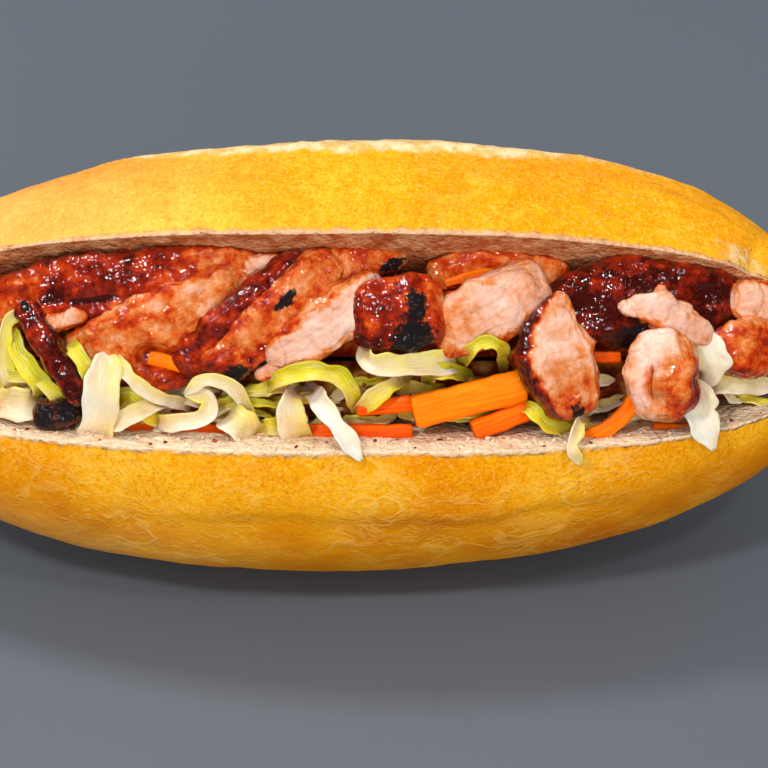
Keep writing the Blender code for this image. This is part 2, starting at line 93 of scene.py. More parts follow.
# Chicken: middle line (u, v, w), widths at start, middle and end, thickness, bluntness, turn; then the
# tone of its face at start, middle and end (0 pale cut meat, 1 darkest glaze), the tones of its two
# rims, the left or upper one last, and its charred spots as (place along, place across, size)
CHICKEN = {
    "dark_strip": ([(-68, 11, 66), (-61, -1, 67), (-55, -11, 64)], (6, 6, 5), 7, 4, 0,
                   (0.74, 0.9, 0.86), (0.8, 0.95), [(0.03, 0, 0.12), (0.95, 0, 0.1)]),
    "charred_end": ([(-66, -14, 62), (-56, -13, 62)], (6, 7, 6), 7, 3, 0,
                    (0.8, 0.9, 0.8), (0.9, 0.9), [(0.3, 0, 0.3), (0.8, 0.2, 0.3)]),
    "small_left": ([(-64, 6, 65), (-54, 8, 65)], (4, 4, 4), 5, 3, 0,
                   (0.22, 0.16, 0.3), (0.45, 0.4), []),
    "folded": ([(69, 5, 68), (70, -5, 70), (70, -14, 66)], (11, 16, 12), 13, 3.5, 10,
               (0.04, 0.08, 0.16), (0.2, 0.36), []),
    "wedge_slice": ([(47, 13, 62), (46, 1, 64), (51, -14, 63)], (3, 18, 13), 11, 4, -12,
                    (0.26, 0.12, 0.46), (0.86, 0.32), [(0.97, 0.0, 0.1)]),
    "charred_chunk": ([(3, 7, 62), (12, 8, 64), (22, 9, 61)], (14, 16, 15), 13, 4, 0,
                      (0.72, 0.74, 0.46), (0.82, 0.58), [(0.62, -0.75, 0.2), (0.66, 0.3, 0.1)]),
    "pale_slice": ([(-16, -1, 63), (-3, 6, 65), (9, 16, 61)], (7, 12, 10), 9, 3, 16,
                   (0.14, 0.05, 0.1), (0.34, 0.42), []),
    "thin_slice": ([(-18, -5, 62), (-11, -3, 63), (-4, -3, 62)], (3, 4, 3), 4, 3, 0,
                   (0.18, 0.1, 0.16), (0.5, 0.12), []),
    "pink_cut": ([(20, 4, 60), (32, 9, 62), (44, 16, 59)], (13, 15, 12), 11, 5, 10,
                 (0.45, 0.09, 0.22), (0.5, 0.18), []),
    "slice_d": ([(-29, -6, 60), (-15, 7, 62), (-1, 21, 58)], (10, 12, 10), 11, 4, 12,
                (0.8, 0.42, 0.36), (0.7, 0.46), [(0.12, -0.6, 0.16), (0.62, 0.2, 0.08)]),
    "pulled_top": ([(68, 9, 65), (70, 15, 65)], (8, 4, 3), 5, 2.6, 0,
                   (0.1, 0.16, 0.4), (0.2, 0.3), []),
    "pulled_pink": ([(60, 10, 67), (69, 9, 69), (81, 3, 68)], (3, 8, 8), 6, 2.6, 0,
                    (0.1, 0.08, 0.16), (0.3, 0.16), []),
    "slice_c": ([(-34, -4, 58), (-21, 7, 61), (-7, 20, 57)], (11, 13, 11), 11, 4, 12,
                (0.68, 0.82, 0.86), (0.8, 0.7), []),
    "slice_a": ([(-58, 0, 58), (-41, 6, 61), (-21, 17, 57)], (12, 14, 11), 12, 4, 12,
                (0.32, 0.42, 0.24), (0.62, 0.44), []),
    "pink_right": ([(84, 12, 61), (93, 11, 62), (103, 7, 60)], (9, 10, 6), 10, 3.5, 0,
                   (0.18, 0.12, 0.3), (0.46, 0.36), []),
    "crumbly_right": ([(80, 0, 62), (89, 1, 63), (101, 1, 60)], (11, 13, 9), 13, 3, 0,
                      (0.47, 0.54, 0.48), (0.62, 0.38), []),
    "slice_b": ([(-47, -6, 57), (-34, 0, 58), (-17, 12, 56)], (10, 12, 10), 11, 4, 12,
                (0.6, 0.62, 0.7), (0.8, 0.7), []),
    "maroon_right": ([(44, 9, 56), (64, 11, 58), (87, 12, 56)], (16, 20, 16), 15, 3.5, 0,
                     (0.84, 0.88, 0.9), (0.98, 0.8), [(0.5, -0.9, 0.14)]),
    "glazed_left": ([(-77, 10, 56), (-60, 13, 58), (-42, 15, 58), (-17, 19, 55)], (13, 16, 12), 14, 4, 0,
                    (0.48, 0.76, 0.36), (0.84, 0.72), []),
    "left_end": ([(-99, 5, 58), (-86, 8, 60), (-74, 9, 58)], (9, 14, 13), 13, 3, 0,
                 (0.7, 0.62, 0.5), (0.8, 0.7), []),
    "pale_bit": ([(-21, 18, 59), (-12, 20, 58)], (4, 5, 3), 5, 3, 0,
                 (0.12, 0.1, 0.2), (0.4, 0.3), []),
    "skin_top": ([(-11, 12, 55), (1, 19, 56), (15, 22, 54)], (10, 9, 8), 10, 3.5, 0,
                 (0.4, 0.42, 0.46), (0.6, 0.5), [(0.85, -0.6, 0.12)]),
    "tan_top": ([(19, 17, 54), (34, 18, 55), (50, 17, 54)], (9, 10, 8), 11, 3.5, 0,
                (0.5, 0.46, 0.36), (0.6, 0.55), []),
}

# A slit torn into a piece: where it starts and ends along it, its place across, half width and depth,
# and how much browner the meat is past it
SLITS = {
    "folded": (0.40, 0.74, -0.28, 0.09, 3.2, 0.3),
    "maroon_right": (0.1, 0.9, 0.1, 0.06, 1.2, 0.0),
    "glazed_left": (0.05, 0.6, -0.25, 0.06, 1.2, 0.06),
}

# Carrot sticks: the line down the middle, width, thickness and shade (0 bright, 1 deep)
CARROTS = [
    ([(-41, -1, 61), (-29, -4, 60)], 3.2, 3.0, 0.1),
    ([(-46, -16, 57), (-24, -17, 57)], 2.6, 3.0, 0.8),
    ([(4, -12, 59), (16, -11, 60)], 3.6, 3.4, 0.8),
    ([(-7, -17, 59), (16, -17, 60)], 3.2, 3.2, 0.9),
    ([(16, -13, 63), (40, -7, 62)], 7.2, 5.0, 0.0),
    ([(29, -17, 61), (42, -12, 60)], 4.6, 4.0, 0.5),
    ([(65, -9, 64), (60, -15, 65), (53, -19, 63)], 3.6, 2.6, 0.35),
    ([(68, -17, 61), (76, -17, 61)], 3.4, 3.0, 0.6),
    ([(54, -1, 60), (61, -1, 60)], 2.4, 2.6, 0.8),
    ([(23, 15, 58), (31, 17, 59), (38, 17, 58)], 2.2, 2.2, 0.3),
    ([(-89, -9, 59), (-75, -11, 59)], 3.2, 3.0, 0.4),
]

# The carrots, by their place in the list above, that lie on a piece of chicken
CARROTS_ON = {
    "slice_a": (0,),
    "slice_b": (0,),
    "skin_top": (9,),
    "tan_top": (9,),
}

# Lettuce shreds: the line down the middle, widths at start, middle and end, and hue: 0 white, 0.35 cream,
# 0.7 yellow, 1 yellow-green
SHREDS = [
    ([(-65, 11, 64), (-71, 7, 66), (-72, 1, 66), (-71, -7, 61), (-71, -9, 48)], (2, 3, 4), 0.6),
    ([(-71, 7, 62), (-69, 0, 66), (-64, -7, 65), (-64, -10, 48)], (2, 5, 4), 0.95),
    ([(-75, -6, 48), (-72, -5, 62), (-65, -6, 66), (-60, -10, 62), (-60, -12, 48)], (3, 3, 6), 0.7),
    ([(-78, -12, 48), (-72, -11, 62), (-67, -11, 63), (-63, -10, 48)], (4, 7, 5), 0.4),
    ([(-60, 5, 54), (-57, 1, 66), (-53, -5, 66), (-53, -9, 48)], (2, 4, 3), 0.8),
    ([(-49, 1, 64), (-50, -4, 68), (-51, -11, 68), (-52, -18, 61), (-53, -16, 48)], (3, 9, 12), 0.3),
    ([(-52, -15, 62), (-46, -14, 66), (-39, -11, 60), (-38, -10, 48)], (5, 4, 3), 0.35),
    ([(-48, 0, 65), (-45, -5, 67), (-40, -9, 65), (-34, -11, 58), (-31, -12, 48)], (3, 3, 3), 0.3),
    ([(-49, -10, 50), (-46, -10, 62), (-40, -13, 60), (-38, -14, 48)], (4, 6, 4), 0.85),
    ([(-42, -14, 48), (-37, -15, 62), (-29, -14, 65), (-28, -10, 65), (-33, -9, 64)], (3, 4, 3), 0.3),
    ([(-33, -9, 64), (-28, -6, 66), (-22, -8, 65), (-19, -14, 58), (-18, -15, 48)], (3, 3, 3), 0.3),
    ([(-25, -12, 48), (-23, -14, 63), (-19, -17, 61), (-16, -17, 48)], (5, 7, 4), 0.4),
    ([(-19, -16, 48), (-15, -16, 60), (-11, -15, 56), (-10, -14, 48)], (3, 5, 3), 0.75),
    ([(-18, -9, 48), (-13, -6, 66), (-6, -4, 68), (0, -5, 67), (3, -9, 64), (4, -15, 48)], (3, 4, 3), 0.8),
    ([(-8, -7, 50), (-4, -10, 67), (0, -16, 72), (5, -23, 71.5)], (4, 4, 4), 0.0),
    ([(-8, -7, 50), (-10, -10, 65), (-10, -15, 65), (-8, -19, 58), (-9, -17, 48)], (3, 7, 4), 0.35),
    ([(5, 2, 62), (7, -2, 68), (14, -3, 68), (24, -2, 62), (26, -2, 48)], (4, 5, 5), 0.35),
    ([(16, -5, 52), (11, -7, 64), (5, -12, 60), (3, -13, 48)], (3, 4, 2), 0.6),
    ([(19, -8, 48), (20, -5, 62), (23, -4, 64), (27, -5, 56), (28, -7, 48)], (2, 4, 3), 1.0),
    ([(26, -4, 48), (28, 0, 65), (31, 2, 67), (35, 1, 66), (36, -5, 50)], (3, 3, 3), 0.9),
    ([(38, -11, 48), (41, -12, 64), (45, -15, 64), (50, -17, 58), (51, -16, 48)], (2, 4, 3), 1.0),
    ([(55, -14, 48), (52, -15, 67), (50, -20, 72), (52, -24, 71)], (2, 3, 3), 0.4),
    ([(75, -11, 48), (77, -10, 67), (78, -14, 71), (81, -21, 70.5)], (6, 9, 4), 0.05),
    ([(76, -5, 48), (79, -4, 66), (79, 1, 69), (75, 7, 67)], (5, 10, 4), 0.3),
    ([(78, -8, 48), (83, -7, 63), (93, -7, 61), (101, -7, 50)], (4, 4, 4), 0.35),
    ([(-99, -2, 46), (-92, -3, 60), (-84, -1, 62), (-76, -3, 60), (-75, -6, 48)], (3, 4, 3), 0.5),
    ([(-95, -9, 46), (-88, -12, 59), (-79, -13, 61), (-76, -14, 48)], (3, 5, 3), 0.3),
    ([(-93, 4, 50), (-88, 2, 62), (-87, -7, 62), (-85, -9, 48)], (3, 4, 3), 0.8),
]
SHRED_THICK = 0.36

# The beds behind the pieces that show: half length, how far in from the hinge they start, how far their
# faces bulge, and for each the depth of its face and its lowest and highest share of the opening
BED_HALF_LENGTH = 96.0
BED_SET_IN = 6.0
BED_BULGE = 2.0
SALAD_FACE = 52.0
SALAD_SPAN = (-0.92, -0.12)
CHICKEN_FACE = 51.0
CHICKEN_SPAN = (-0.06, 0.92)


# The opening's frame and the roll's form

def signed_power(value, power):
    """A power that keeps the sign of the value."""
    return math.copysign(abs(value) ** power, value)


def hill(value, width, power=2):
    """A smooth hill: 1 at 0 and next to nothing beyond twice its width."""
    return math.exp(-((value / width) ** power))


def smooth_step(value, low, high):
    """Rises from 0 at low to 1 at high, with a soft start and end."""
    t = min(1.0, max(0.0, (value - low) / (high - low)))
    return t * t * (3 - 2 * t)


def soft_step(value, blur):
    """Rises from 0 well below zero to 1 well above it."""
    return 1 / (1 + math.exp(-value / blur))


def fractal(point, octaves):
    """Noise with finer noise on it."""
    return noise.fractal(point, 1.0, 2.0, octaves)


def layered(point, layers):
    """Adds up layers of unevenness, each with its height, its size and its octaves."""
    return sum(height * fractal(point / size, octaves) for height, size, octaves in layers)


def along_share(u, crown, power, half):
    """How much of the full section is left at u, for a side whose fullest place is off centre by crown."""
    moved = (u - crown * (1 - (u / HALF) ** 2)) / half
    return max(0.0, 1 - abs(moved) ** power) ** (1 / power)


def taper(u):
    """How much of the roll's full section is left at u."""
    return along_share(u, 0, END_POWER, HALF)


def open_share(u):
    """How far the slit is open at u, as a share of its middle."""
    return along_share(u, 0, LIP_POWER, SLIT_HALF)


def slash_place(u, angle):
    """Where a point lies across the slash, -1 at its front edge and 1 at its back, and how open it is."""
    reach = 1 - ((u - SLASH_MIDDLE) / SLASH_HALF_LENGTH) ** 2
    if reach <= 0:
        return FAR_FROM_SLASH, 0.0
    wander = SLASH_WANDER * noise.noise(Vector((u / 7, angle / 40, 3.0)))
    return (angle - SLASH_ANGLE) / (SLASH_HALF_ANGLE * math.sqrt(reach)) + wander, math.sqrt(reach)


def slash_relief(u, angle):
    """Height of the slash: its floor and the lifted ear of skin along its front edge."""
    place, reach = slash_place(u, angle)
    floor = -SLASH_DEPTH * max(0.0, 1 - abs(place) ** SLASH_WALL_POWER)
    ear = EAR_HEIGHT * hill(place + EAR_PLACE, EAR_WIDTH)
    return (floor + ear) * reach


# Unevenness of the baked skin: height, size and octaves
SKIN_LAYERS = [(0.16, 5.0, 3), (0.05, 1.4, 2)]
# The same on the back, which is shrunk and finely wrinkled: a height and a size, then for the wrinkles
# their depth, how far apart they are and how thin
BACK_SHRINK = (0.35, 9.0)
BACK_WRINKLES = (0.25, 13.0, 0.03)
BACK_STARTS = (95, 130)
# The rough floor of the slash
SLASH_ROUGH = 0.3
# The long step that runs under the lower half: its angle, height, half thickness, middle and half length
STEP_ANGLE = -47.0
STEP_HEIGHT = 0.55
STEP_BLUR = 1.2
STEP_MIDDLE = 12
STEP_HALF_LENGTH = 52
# Single folds and ridges: height, place along the roll and half width, angle round it and half width, and
# how far the place moves along the roll with each degree past CREASE_BASE
CREASE_BASE = 40
CREASES = [
    (-1.6, 90.0, 1.8, 42, 26, 0.12),
    (1.0, 74.0, 13.0, 58, 3.6, 0.0),
    (0.7, -8.0, 1.3, 62, 8, 0.0),
    (-0.5, -62.5, 0.7, 40, 5, 0.6),
]


def signed_angle(degrees):
    """The angle round the roll counted both ways from the mouth, below zero under it."""
    return degrees - 360 if degrees > 180 else degrees


def long_step(u, below):
    """Height of the crust at the long step under the lower half."""
    wave = 5 * noise.noise(Vector((u / 26, 0.3, 5.1))) + 2 * noise.noise(Vector((u / 6, 2, 1)))
    risen = soft_step(below - STEP_ANGLE - wave, STEP_BLUR)
    return STEP_HEIGHT * hill(u - STEP_MIDDLE, STEP_HALF_LENGTH, 4) * (risen - 0.5) * 2


def fine_crust(u, v, w, degrees):
    """Small unevenness of the baked skin, in millimetres."""
    here = Vector((u, v, w))
    below = signed_angle(degrees)
    height = layered(here, SKIN_LAYERS)
    shrunk, shrunk_size = BACK_SHRINK
    deep, apart, thin = BACK_WRINKLES
    back = shrunk * noise.noise(here / shrunk_size) - deep * hill(noise.noise(here / apart), thin)
    height += back * smooth_step(abs(below), *BACK_STARTS)
    place, reach = slash_place(u, degrees)
    if abs(place) < 1:
        rough = fractal(Vector((u / 4.0, degrees / 5.0, 2.0)), 3)
        height += SLASH_ROUGH * reach * (1 - place * place) * rough
    if -110 < below < 0:
        height += long_step(u, below)
    for high, along, long, angle, wide, lean in CREASES:
        middle = along + lean * (below - CREASE_BASE)
        height += high * hill(u - middle, long) * hill(below - angle, wide)
    return height


def crust_point(u, angle, extra=True):
    """A point of the crust, as (w, v), at an angle round the section counted from the mouth."""
    upper = along_share(u, UPPER_CROWN, END_POWER, HALF)
    lower = along_share(u, LOWER_CROWN, END_POWER, HALF)
    share = lower + (upper - lower) * (1 + math.sin(angle)) / 2
    w = SECTION_CENTRE + HALF_DEPTH * share * signed_power(math.cos(angle), 2 / SECTION_POWER)
    v = HALF_HEIGHT * share * signed_power(math.sin(angle), 2 / SECTION_POWER)
    degrees = math.degrees(angle)
    push = CRUST_LUMP * share * noise.noise(Vector((u, v, w)) / CRUST_LUMP_SIZE)
    push += slash_relief(u, degrees) * share
    if extra:
        push += fine_crust(u, v, w, degrees) * share - INSET
    return w + push * math.cos(angle), v + push * math.sin(angle)


def lip_angle(u, lip, crown):
    """The angle of a lip at u, 0 where the slit has ended."""
    gape = open_share(u)
    share = along_share(u, crown, END_POWER, HALF)
    if gape <= 0:
        return 0.0
    return math.asin(min(1.0, lip * gape / (HALF_HEIGHT * share)) ** (SECTION_POWER / 2))


def lip_angles(u):
    """The angles of the upper and the lower lip, with all of the crust between them."""
    first = lip_angle(u, UPPER_LIP, UPPER_CROWN)
    return first, 2 * math.pi - lip_angle(u, LOWER_LIP, LOWER_CROWN)


def hinge_depth(u, mouth):
    """The depth of the hinge at u. It meets the mouth where the slit ends."""
    return mouth - (mouth - HINGE_DEPTH) * open_share(u)


def crumb_point(u, side, upper, lower):
    """A point of the crumb inside, side running from -1 at the lower lip through the hinge to 1."""
    lip = upper if side > 0 else lower
    hinge = hinge_depth(u, (upper[0] + lower[0]) / 2)
    bow = math.sqrt(side * side + HINGE_ROUNDING**2) - HINGE_ROUNDING
    bow /= math.sqrt(1 + HINGE_ROUNDING**2) - HINGE_ROUNDING
    w = hinge + (lip[0] - hinge) * bow
    v = lip[1] * abs(side)
    here = Vector((u, v, w))
    lump = CRUMB_LUMP * noise.noise(here / CRUMB_LUMP_SIZE) * (1 - side * side)
    pores = layered(here, CRUMB_PORES) * min(1.0, 14 * (1 - abs(side)))
    return w, v + open_share(u) * (lump + pores) * math.copysign(1, side)


def world_point(u, v, w):
    """A point in the opening's frame (along the roll, up across the opening, out of it) in the world."""
    y = -w * math.cos(TILT) + v * math.sin(TILT)
    z = w * math.sin(TILT) + v * math.cos(TILT)
    return Vector((u, y, z))


def find_shift():
    """What the solids were moved by so that they rest on the ground, read from the roll's own box."""
    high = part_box("bread_roll")[1]
    middle = world_point(0, 0, SECTION_CENTRE)
    angles = [math.radians(a / 4) for a in range(1440)]
    top = max(world_point(0, v, w).z for w, v in (crust_point(0, a, False) for a in angles))
    return Vector((0, -middle.y, high.z / MM - top))


SHIFT = find_shift()


def placed(u, v, w):
    """A point in the opening's frame, in millimetres, as a point in the world, in metres."""
    moved = world_point(u, v, w) + SHIFT
    moved.z = max(moved.z, 0.0)
    return moved * MM


def direction(vector):
    """A direction in the opening's frame as one in the world."""
    return (world_point(*vector) - world_point(0, 0, 0)).normalized()


def set_back(point):
    """Depths are listed as at the middle of the roll, and near its ends they shrink with its section."""
    return Vector((point.x, point.y, SECTION_CENTRE + (point.z - SECTION_CENTRE) * taper(point.x)))


# Mesh helpers

def shown(name, mesh):
    """A new object in the scene with this mesh."""
    made = bpy.data.objects.new(name, mesh)
    bpy.context.scene.collection.objects.link(made)
    return made


def shaped(base):
    """The mesh of an object with its modifiers worked in."""
    return bpy.data.meshes.new_from_object(base.evaluated_get(bpy.context.evaluated_depsgraph_get()))


def finish_piece(made, material, nodes=()):
    """Gives a piece its finish, hides the solids it replaces and lets it ride on the sandwich."""
    made.data.materials.clear()
    made.data.materials.append(material)
    made.data.shade_smooth()
    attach(made, "root")
    if nodes:
        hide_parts(*nodes)


def skin_rings(name, rings, values):
    """A closed skin over rows of points, with a number for each point stored under each name."""
    count = len(rings[0])
    points = [point for ring in rings for point in ring]
    last = len(points) - count
    faces = []
    for start in range(0, last, count):
        for j in range(count):
            k = (j + 1) % count
            faces.append((start + j, start + k, start + count + k, start + count + j))
    faces.append(tuple(range(count - 1, -1, -1)))
    faces.append(tuple(range(last, last + count)))
    mesh = bpy.data.meshes.new(name)
    mesh.from_pydata(points, [], faces)
    for label, numbers in values.items():
        add_numbers(mesh, label, numbers)
    bm = bmesh.new()
    bm.from_mesh(mesh)
    bmesh.ops.remove_doubles(bm, verts=bm.verts, dist=1e-7)
    bmesh.ops.dissolve_degenerate(bm, edges=bm.edges, dist=1e-8)
    bmesh.ops.recalc_face_normals(bm, faces=bm.faces)
    bm.to_mesh(mesh)
    bm.free()
    return shown(name, mesh)


def add_numbers(mesh, label, numbers):
    """Stores a number or a vector for each point of the mesh, under a name that its finish reads."""
    vectors = hasattr(numbers[0], "__len__")
    stored = mesh.attributes.new(label, "FLOAT_VECTOR" if vectors else "FLOAT", "POINT")
    stored.data.foreach_set("vector" if vectors else "value", np.array(numbers, np.float32).ravel())


def smooth_path(points, count):
    """Evenly spaced places on a smooth curve through the points."""
    points = [Vector(point) for point in points]
    if len(points) == 2:
        points.insert(1, (points[0] + points[1]) / 2)
    padded = [2 * points[0] - points[1], *points, 2 * points[-1] - points[-2]]
    spans = len(points) - 1
    path = []
    for i in range(count + 1):
        place = spans * i / count
        k = min(int(place), spans - 1)
        t = place - k
        a, b, c, d = padded[k : k + 4]
        square = 2 * a - 5 * b + 4 * c - d
        cube = 3 * b - a - 3 * c + d
        path.append((2 * b + (c - a) * t + square * t**2 + cube * t**3) / 2)
    return path


def mixed(values, t):
    """A value between the three given for the start, the middle and the end."""
    first, middle, last = values
    if t < 0.5:
        return first + (middle - first) * 2 * t
    return middle + (last - middle) * (2 * t - 1)


def frames_along(path):
    """At each place of the path the place itself and the two directions across it."""
    toward_viewer = Vector((0, 0, 1))
    frames = []
    across = None
    for i, place in enumerate(path):
        ahead = (path[min(i + 1, len(path) - 1)] - path[max(i - 1, 0)]).normalized()
        side = toward_viewer.cross(ahead)
        if across is not None:
            side += FRAME_STEADY * (across - across.dot(ahead) * ahead)
        across = side.normalized()
        frames.append((place, across, ahead.cross(across)))
    return frames


def stick_places(points, count, turn=0.0):
    """Places along a stick, closer at its ends: the share of its length and the length behind each, the
    place and the two directions across it."""
    spare = 2 * count
    path = [set_back(place) for place in smooth_path(points, spare)]
    frames = frames_along(path)
    length = sum((b - a).length for a, b in zip(path, path[1:]))
    cosine, sine = math.cos(math.radians(turn)), math.sin(math.radians(turn))
    for i in range(1, count):
        t = (1 - math.cos(math.pi * i / count)) / 2
        exact = t * spare
        k = min(int(exact), spare - 1)
        side, front = frames[k][1:]
        centre = path[k].lerp(path[k + 1], exact - k)
        yield t, t * length, centre, side * cosine + front * sine, front * cosine - side * sine


def section_places(count, width, thick, corner):
    """Places round a section between an oval and a box. The higher the corner, the nearer to a box."""
    for j in range(count):
        turned = 2 * math.pi * (j + 0.5) / count
        a = signed_power(math.cos(turned), 2 / corner) * width / 2
        b = signed_power(math.sin(turned), 2 / corner) * thick / 2
        yield a, b


def end_closing(t, blunt):
    """How much of a stick's section is left at a share of its length: 0 at its ends, 1 in its middle."""
    return (1 - abs(2 * t - 1) ** blunt) ** (1 / blunt)


# Materials

def srgb(red, green, blue):
    """A colour given as on a screen, 0 to 255, in the renderer's linear numbers."""
    def linear(value):
        value /= 255
        return value / 12.92 if value <= 0.04045 else ((value + 0.055) / 1.055) ** 2.4
    return (linear(red), linear(green), linear(blue), 1.0)


class Nodes:
    """A node tree under construction, with short ways to add and join its nodes."""

    def __init__(self, tree):
        self.tree = tree

    def put(self, socket, value):
        """Links a socket to an output, or sets it to a plain value."""
        if isinstance(value, bpy.types.NodeSocket):
            self.tree.links.new(value, socket)
        else:
            socket.default_value = value

    def node(self, kind, settings=None, **sockets):
        """Adds a node and sets its properties and its sockets by name."""
        made = self.tree.nodes.new(kind)
        for key, value in (settings or {}).items():
            setattr(made, key, value)
        for label, value in sockets.items():
            self.put(made.inputs[label.replace("_", " ")], value)
        return made

    def out(self, kind, settings=None, **sockets):
        """Adds a node as node does, and gives back its first output."""
        return self.node(kind, settings, **sockets).outputs[0]

    def math(self, operation, first, second=0.0):
        made = self.node("ShaderNodeMath", {"operation": operation})
        self.put(made.inputs[0], first)
        self.put(made.inputs[1], second)
        return made.outputs[0]

    def add(self, first, second):
        return self.math("ADD", first, second)

    def times(self, first, second):
        return self.math("MULTIPLY", first, second)

    def less(self, first, second):
        return self.math("SUBTRACT", first, second)

    def vector(self, operation, first, second):
        made = self.node("ShaderNodeVectorMath", {"operation": operation})
        self.put(made.inputs[0], first)
        self.put(made.inputs["Scale" if operation == "SCALE" else 1], second)
        return made.outputs[0]


class Finish(Nodes):
    """A material under construction."""

    def __init__(self, name):
        self.material = bpy.data.materials.new(name)
        self.material.use_nodes = True
        super().__init__(self.material.node_tree)
        self.shader = self.tree.nodes["Principled BSDF"]
        self.coords = self.node("ShaderNodeTexCoord").outputs["Object"]

    def noise(self, scale, detail=3.0, rough=0.55, distort=0.0, coords=None):
        return self.out("ShaderNodeTexNoise", Vector=coords or self.coords, Scale=scale, Detail=detail,
                        Roughness=rough, Distortion=distort)

    def stretched(self, scale, coords):
        return self.out("ShaderNodeMapping", Vector=coords, Scale=scale)

    def attribute(self, name, output="Fac"):
        return self.node("ShaderNodeAttribute", {"attribute_name": name}).outputs[output]

    def fit(self, value, low, high, out_low=0.0, out_high=1.0):
        """Maps a value from one range to another with a soft start and end."""
        return self.out("ShaderNodeMapRange", {"interpolation_type": "SMOOTHSTEP"}, Value=value,
                        From_Min=low, From_Max=high, To_Min=out_low, To_Max=out_high)

    def ramp(self, value, stops):
        made = self.node("ShaderNodeValToRGB", Fac=value)
        elements = made.color_ramp.elements
        while len(elements) < len(stops):
            elements.new(0.5)
        for element, (place, colour) in zip(elements, stops):
            element.position = place
            element.color = colour
        return made.outputs[0]

    def mix(self, share, first, second):
        """Mixes two colours. The node keeps its colour sockets at 6 and 7 and their result at 2."""
        made = self.node("ShaderNodeMix", {"data_type": "RGBA"})
        for number, value in ((0, share), (6, first), (7, second)):
            self.put(made.inputs[number], value)
        return made.outputs[2]

    def bump(self, height, distance, strength, **under):
        return self.out("ShaderNodeBump", Height=height, Distance=distance, Strength=strength, **under)

    def set(self, **sockets):
        """Sets or links sockets of the shader, by name."""
        for label, value in sockets.items():
            self.put(self.shader.inputs[label.replace("_", " ")], value)


def crack_lines(f):
    """Fine lines drawn out along the roll, a coarse net with a smaller one in it."""
    wobble = f.node("ShaderNodeTexNoise", Vector=f.coords, Scale=90).outputs["Color"]
    bent = f.vector("ADD", f.coords, f.vector("SCALE", wobble, 0.012))
    drawn = f.stretched((0.45, 1.0, 1.0), bent)
    folds = f.math("ABSOLUTE", f.less(f.noise(60, 3, 0.6, 0.4, drawn), 0.5))
    small = f.math("ABSOLUTE", f.less(f.noise(150, 3, 0.6, 0.6, drawn), 0.5))
    lines = f.math("MAXIMUM", f.fit(folds, 0.03, 0.0), f.times(f.fit(small, 0.05, 0.0), 0.6))
    where = f.times(f.fit(f.noise(30, 2), 0.42, 0.6), f.attribute("wrinkled"))
    return f.times(lines, where)


def golden_crust(f, broad, fine, speck, cracked):
    """The colour of the baked skin: golden, speckled, darker underneath as baked colour and painted shade,
    paler where it is cracked.
    """
    # The underside mark darkens the lower crust: partly its baked colour, partly painted shade.
    under = f.attribute("underside_and_painted_shade")
    golden = f.ramp(f.add(f.times(broad, 0.55), f.times(fine, 0.45)), [
        (0.34, srgb(234, 136, 0)),
        (0.50, srgb(246, 162, 4)),
        (0.66, srgb(254, 190, 40)),
    ])
    golden = f.mix(f.fit(speck, 0.54, 0.72, 0.0, 0.5), golden, srgb(255, 216, 116))
    golden = f.mix(f.fit(speck, 0.47, 0.30, 0.0, 0.6), golden, srgb(196, 104, 4))
    lower = f.mix(f.fit(broad, 0.35, 0.65), srgb(214, 126, 2), srgb(238, 158, 18))
    golden = f.mix(f.times(under, 0.8), golden, lower)
    baked = f.times(f.fit(f.noise(26, 4, 0.6), 0.48, 0.7), f.fit(under, 0.2, 0.9, 0.25, 0.6))
    golden = f.mix(baked, golden, srgb(206, 104, 2))
    golden = f.mix(f.times(cracked, 0.3), golden, srgb(255, 208, 104))
    peach = f.times(f.attribute("peach"), f.fit(broad, 0.3, 0.7, 0.6, 1.0))
    return f.mix(peach, golden, f.mix(fine, srgb(238, 172, 92), srgb(255, 216, 140)))


def bread_finish():
    """Golden thin crust with speckles and fine cracks, darker underneath partly as painted shade, a floury
    slash and pale, porous crumb, browner under the upper half as juice stain and painted shade.
    """
    f = Finish("bread_crust_and_crumb")
    fine = f.noise(420, 4, 0.65)
    speck = f.noise(1400, 2, 0.7)
    cracked = crack_lines(f)
    golden = golden_crust(f, f.noise(38, 3), fine, speck, cracked)
    flour = f.mix(f.fit(f.noise(260, 4), 0.4, 0.62), srgb(234, 186, 104), srgb(246, 218, 166))
    slashed = f.fit(f.add(f.attribute("slash"), f.times(f.noise(520, 4, 0.7), 0.9)), 0.6, 1.2)
    outside = f.mix(slashed, golden, flour)
    inside = f.mix(f.fit(f.noise(300, 4), 0.3, 0.7), srgb(236, 198, 156), srgb(255, 234, 204))
    # Browner crumb under the upper half: juice stain with painted shade where the crumb faces down.
    stained_and_shaded = f.mix(f.fit(f.noise(240, 4, 0.65), 0.35, 0.65), srgb(196, 104, 52), srgb(236, 172, 120))
    inside = f.mix(f.attribute("juice_stain_and_painted_shade"), inside, stained_and_shaded)
    edge = f.fit(f.add(f.attribute("crust"), f.times(f.noise(300, 3), 0.5)), 0.62, 0.9)
    crumb = f.less(1.0, edge)
    pores = f.times(f.out("ShaderNodeTexVoronoi", Vector=f.coords, Scale=760), crumb)
    skin = f.times(f.add(fine, f.times(speck, 0.5)), 0.8)
    grain = f.bump(f.add(skin, f.times(pores, 1.6)), 0.00045, 0.8)
    grain = f.bump(f.times(f.noise(700, 3, 0.6), crumb), 0.0006, 0.8, Normal=grain)
    grain = f.bump(f.times(slashed, f.noise(420, 4, 0.7)), 0.0009, 0.8, Normal=grain)
    grain = f.bump(cracked, 0.00022, 0.6, Normal=grain)
    f.set(Base_Color=f.mix(edge, inside, outside), Roughness=f.fit(fine, 0.3, 0.7, 0.5, 0.66))
    f.set(Normal=grain, Specular_IOR_Level=0.05)
    return f.material


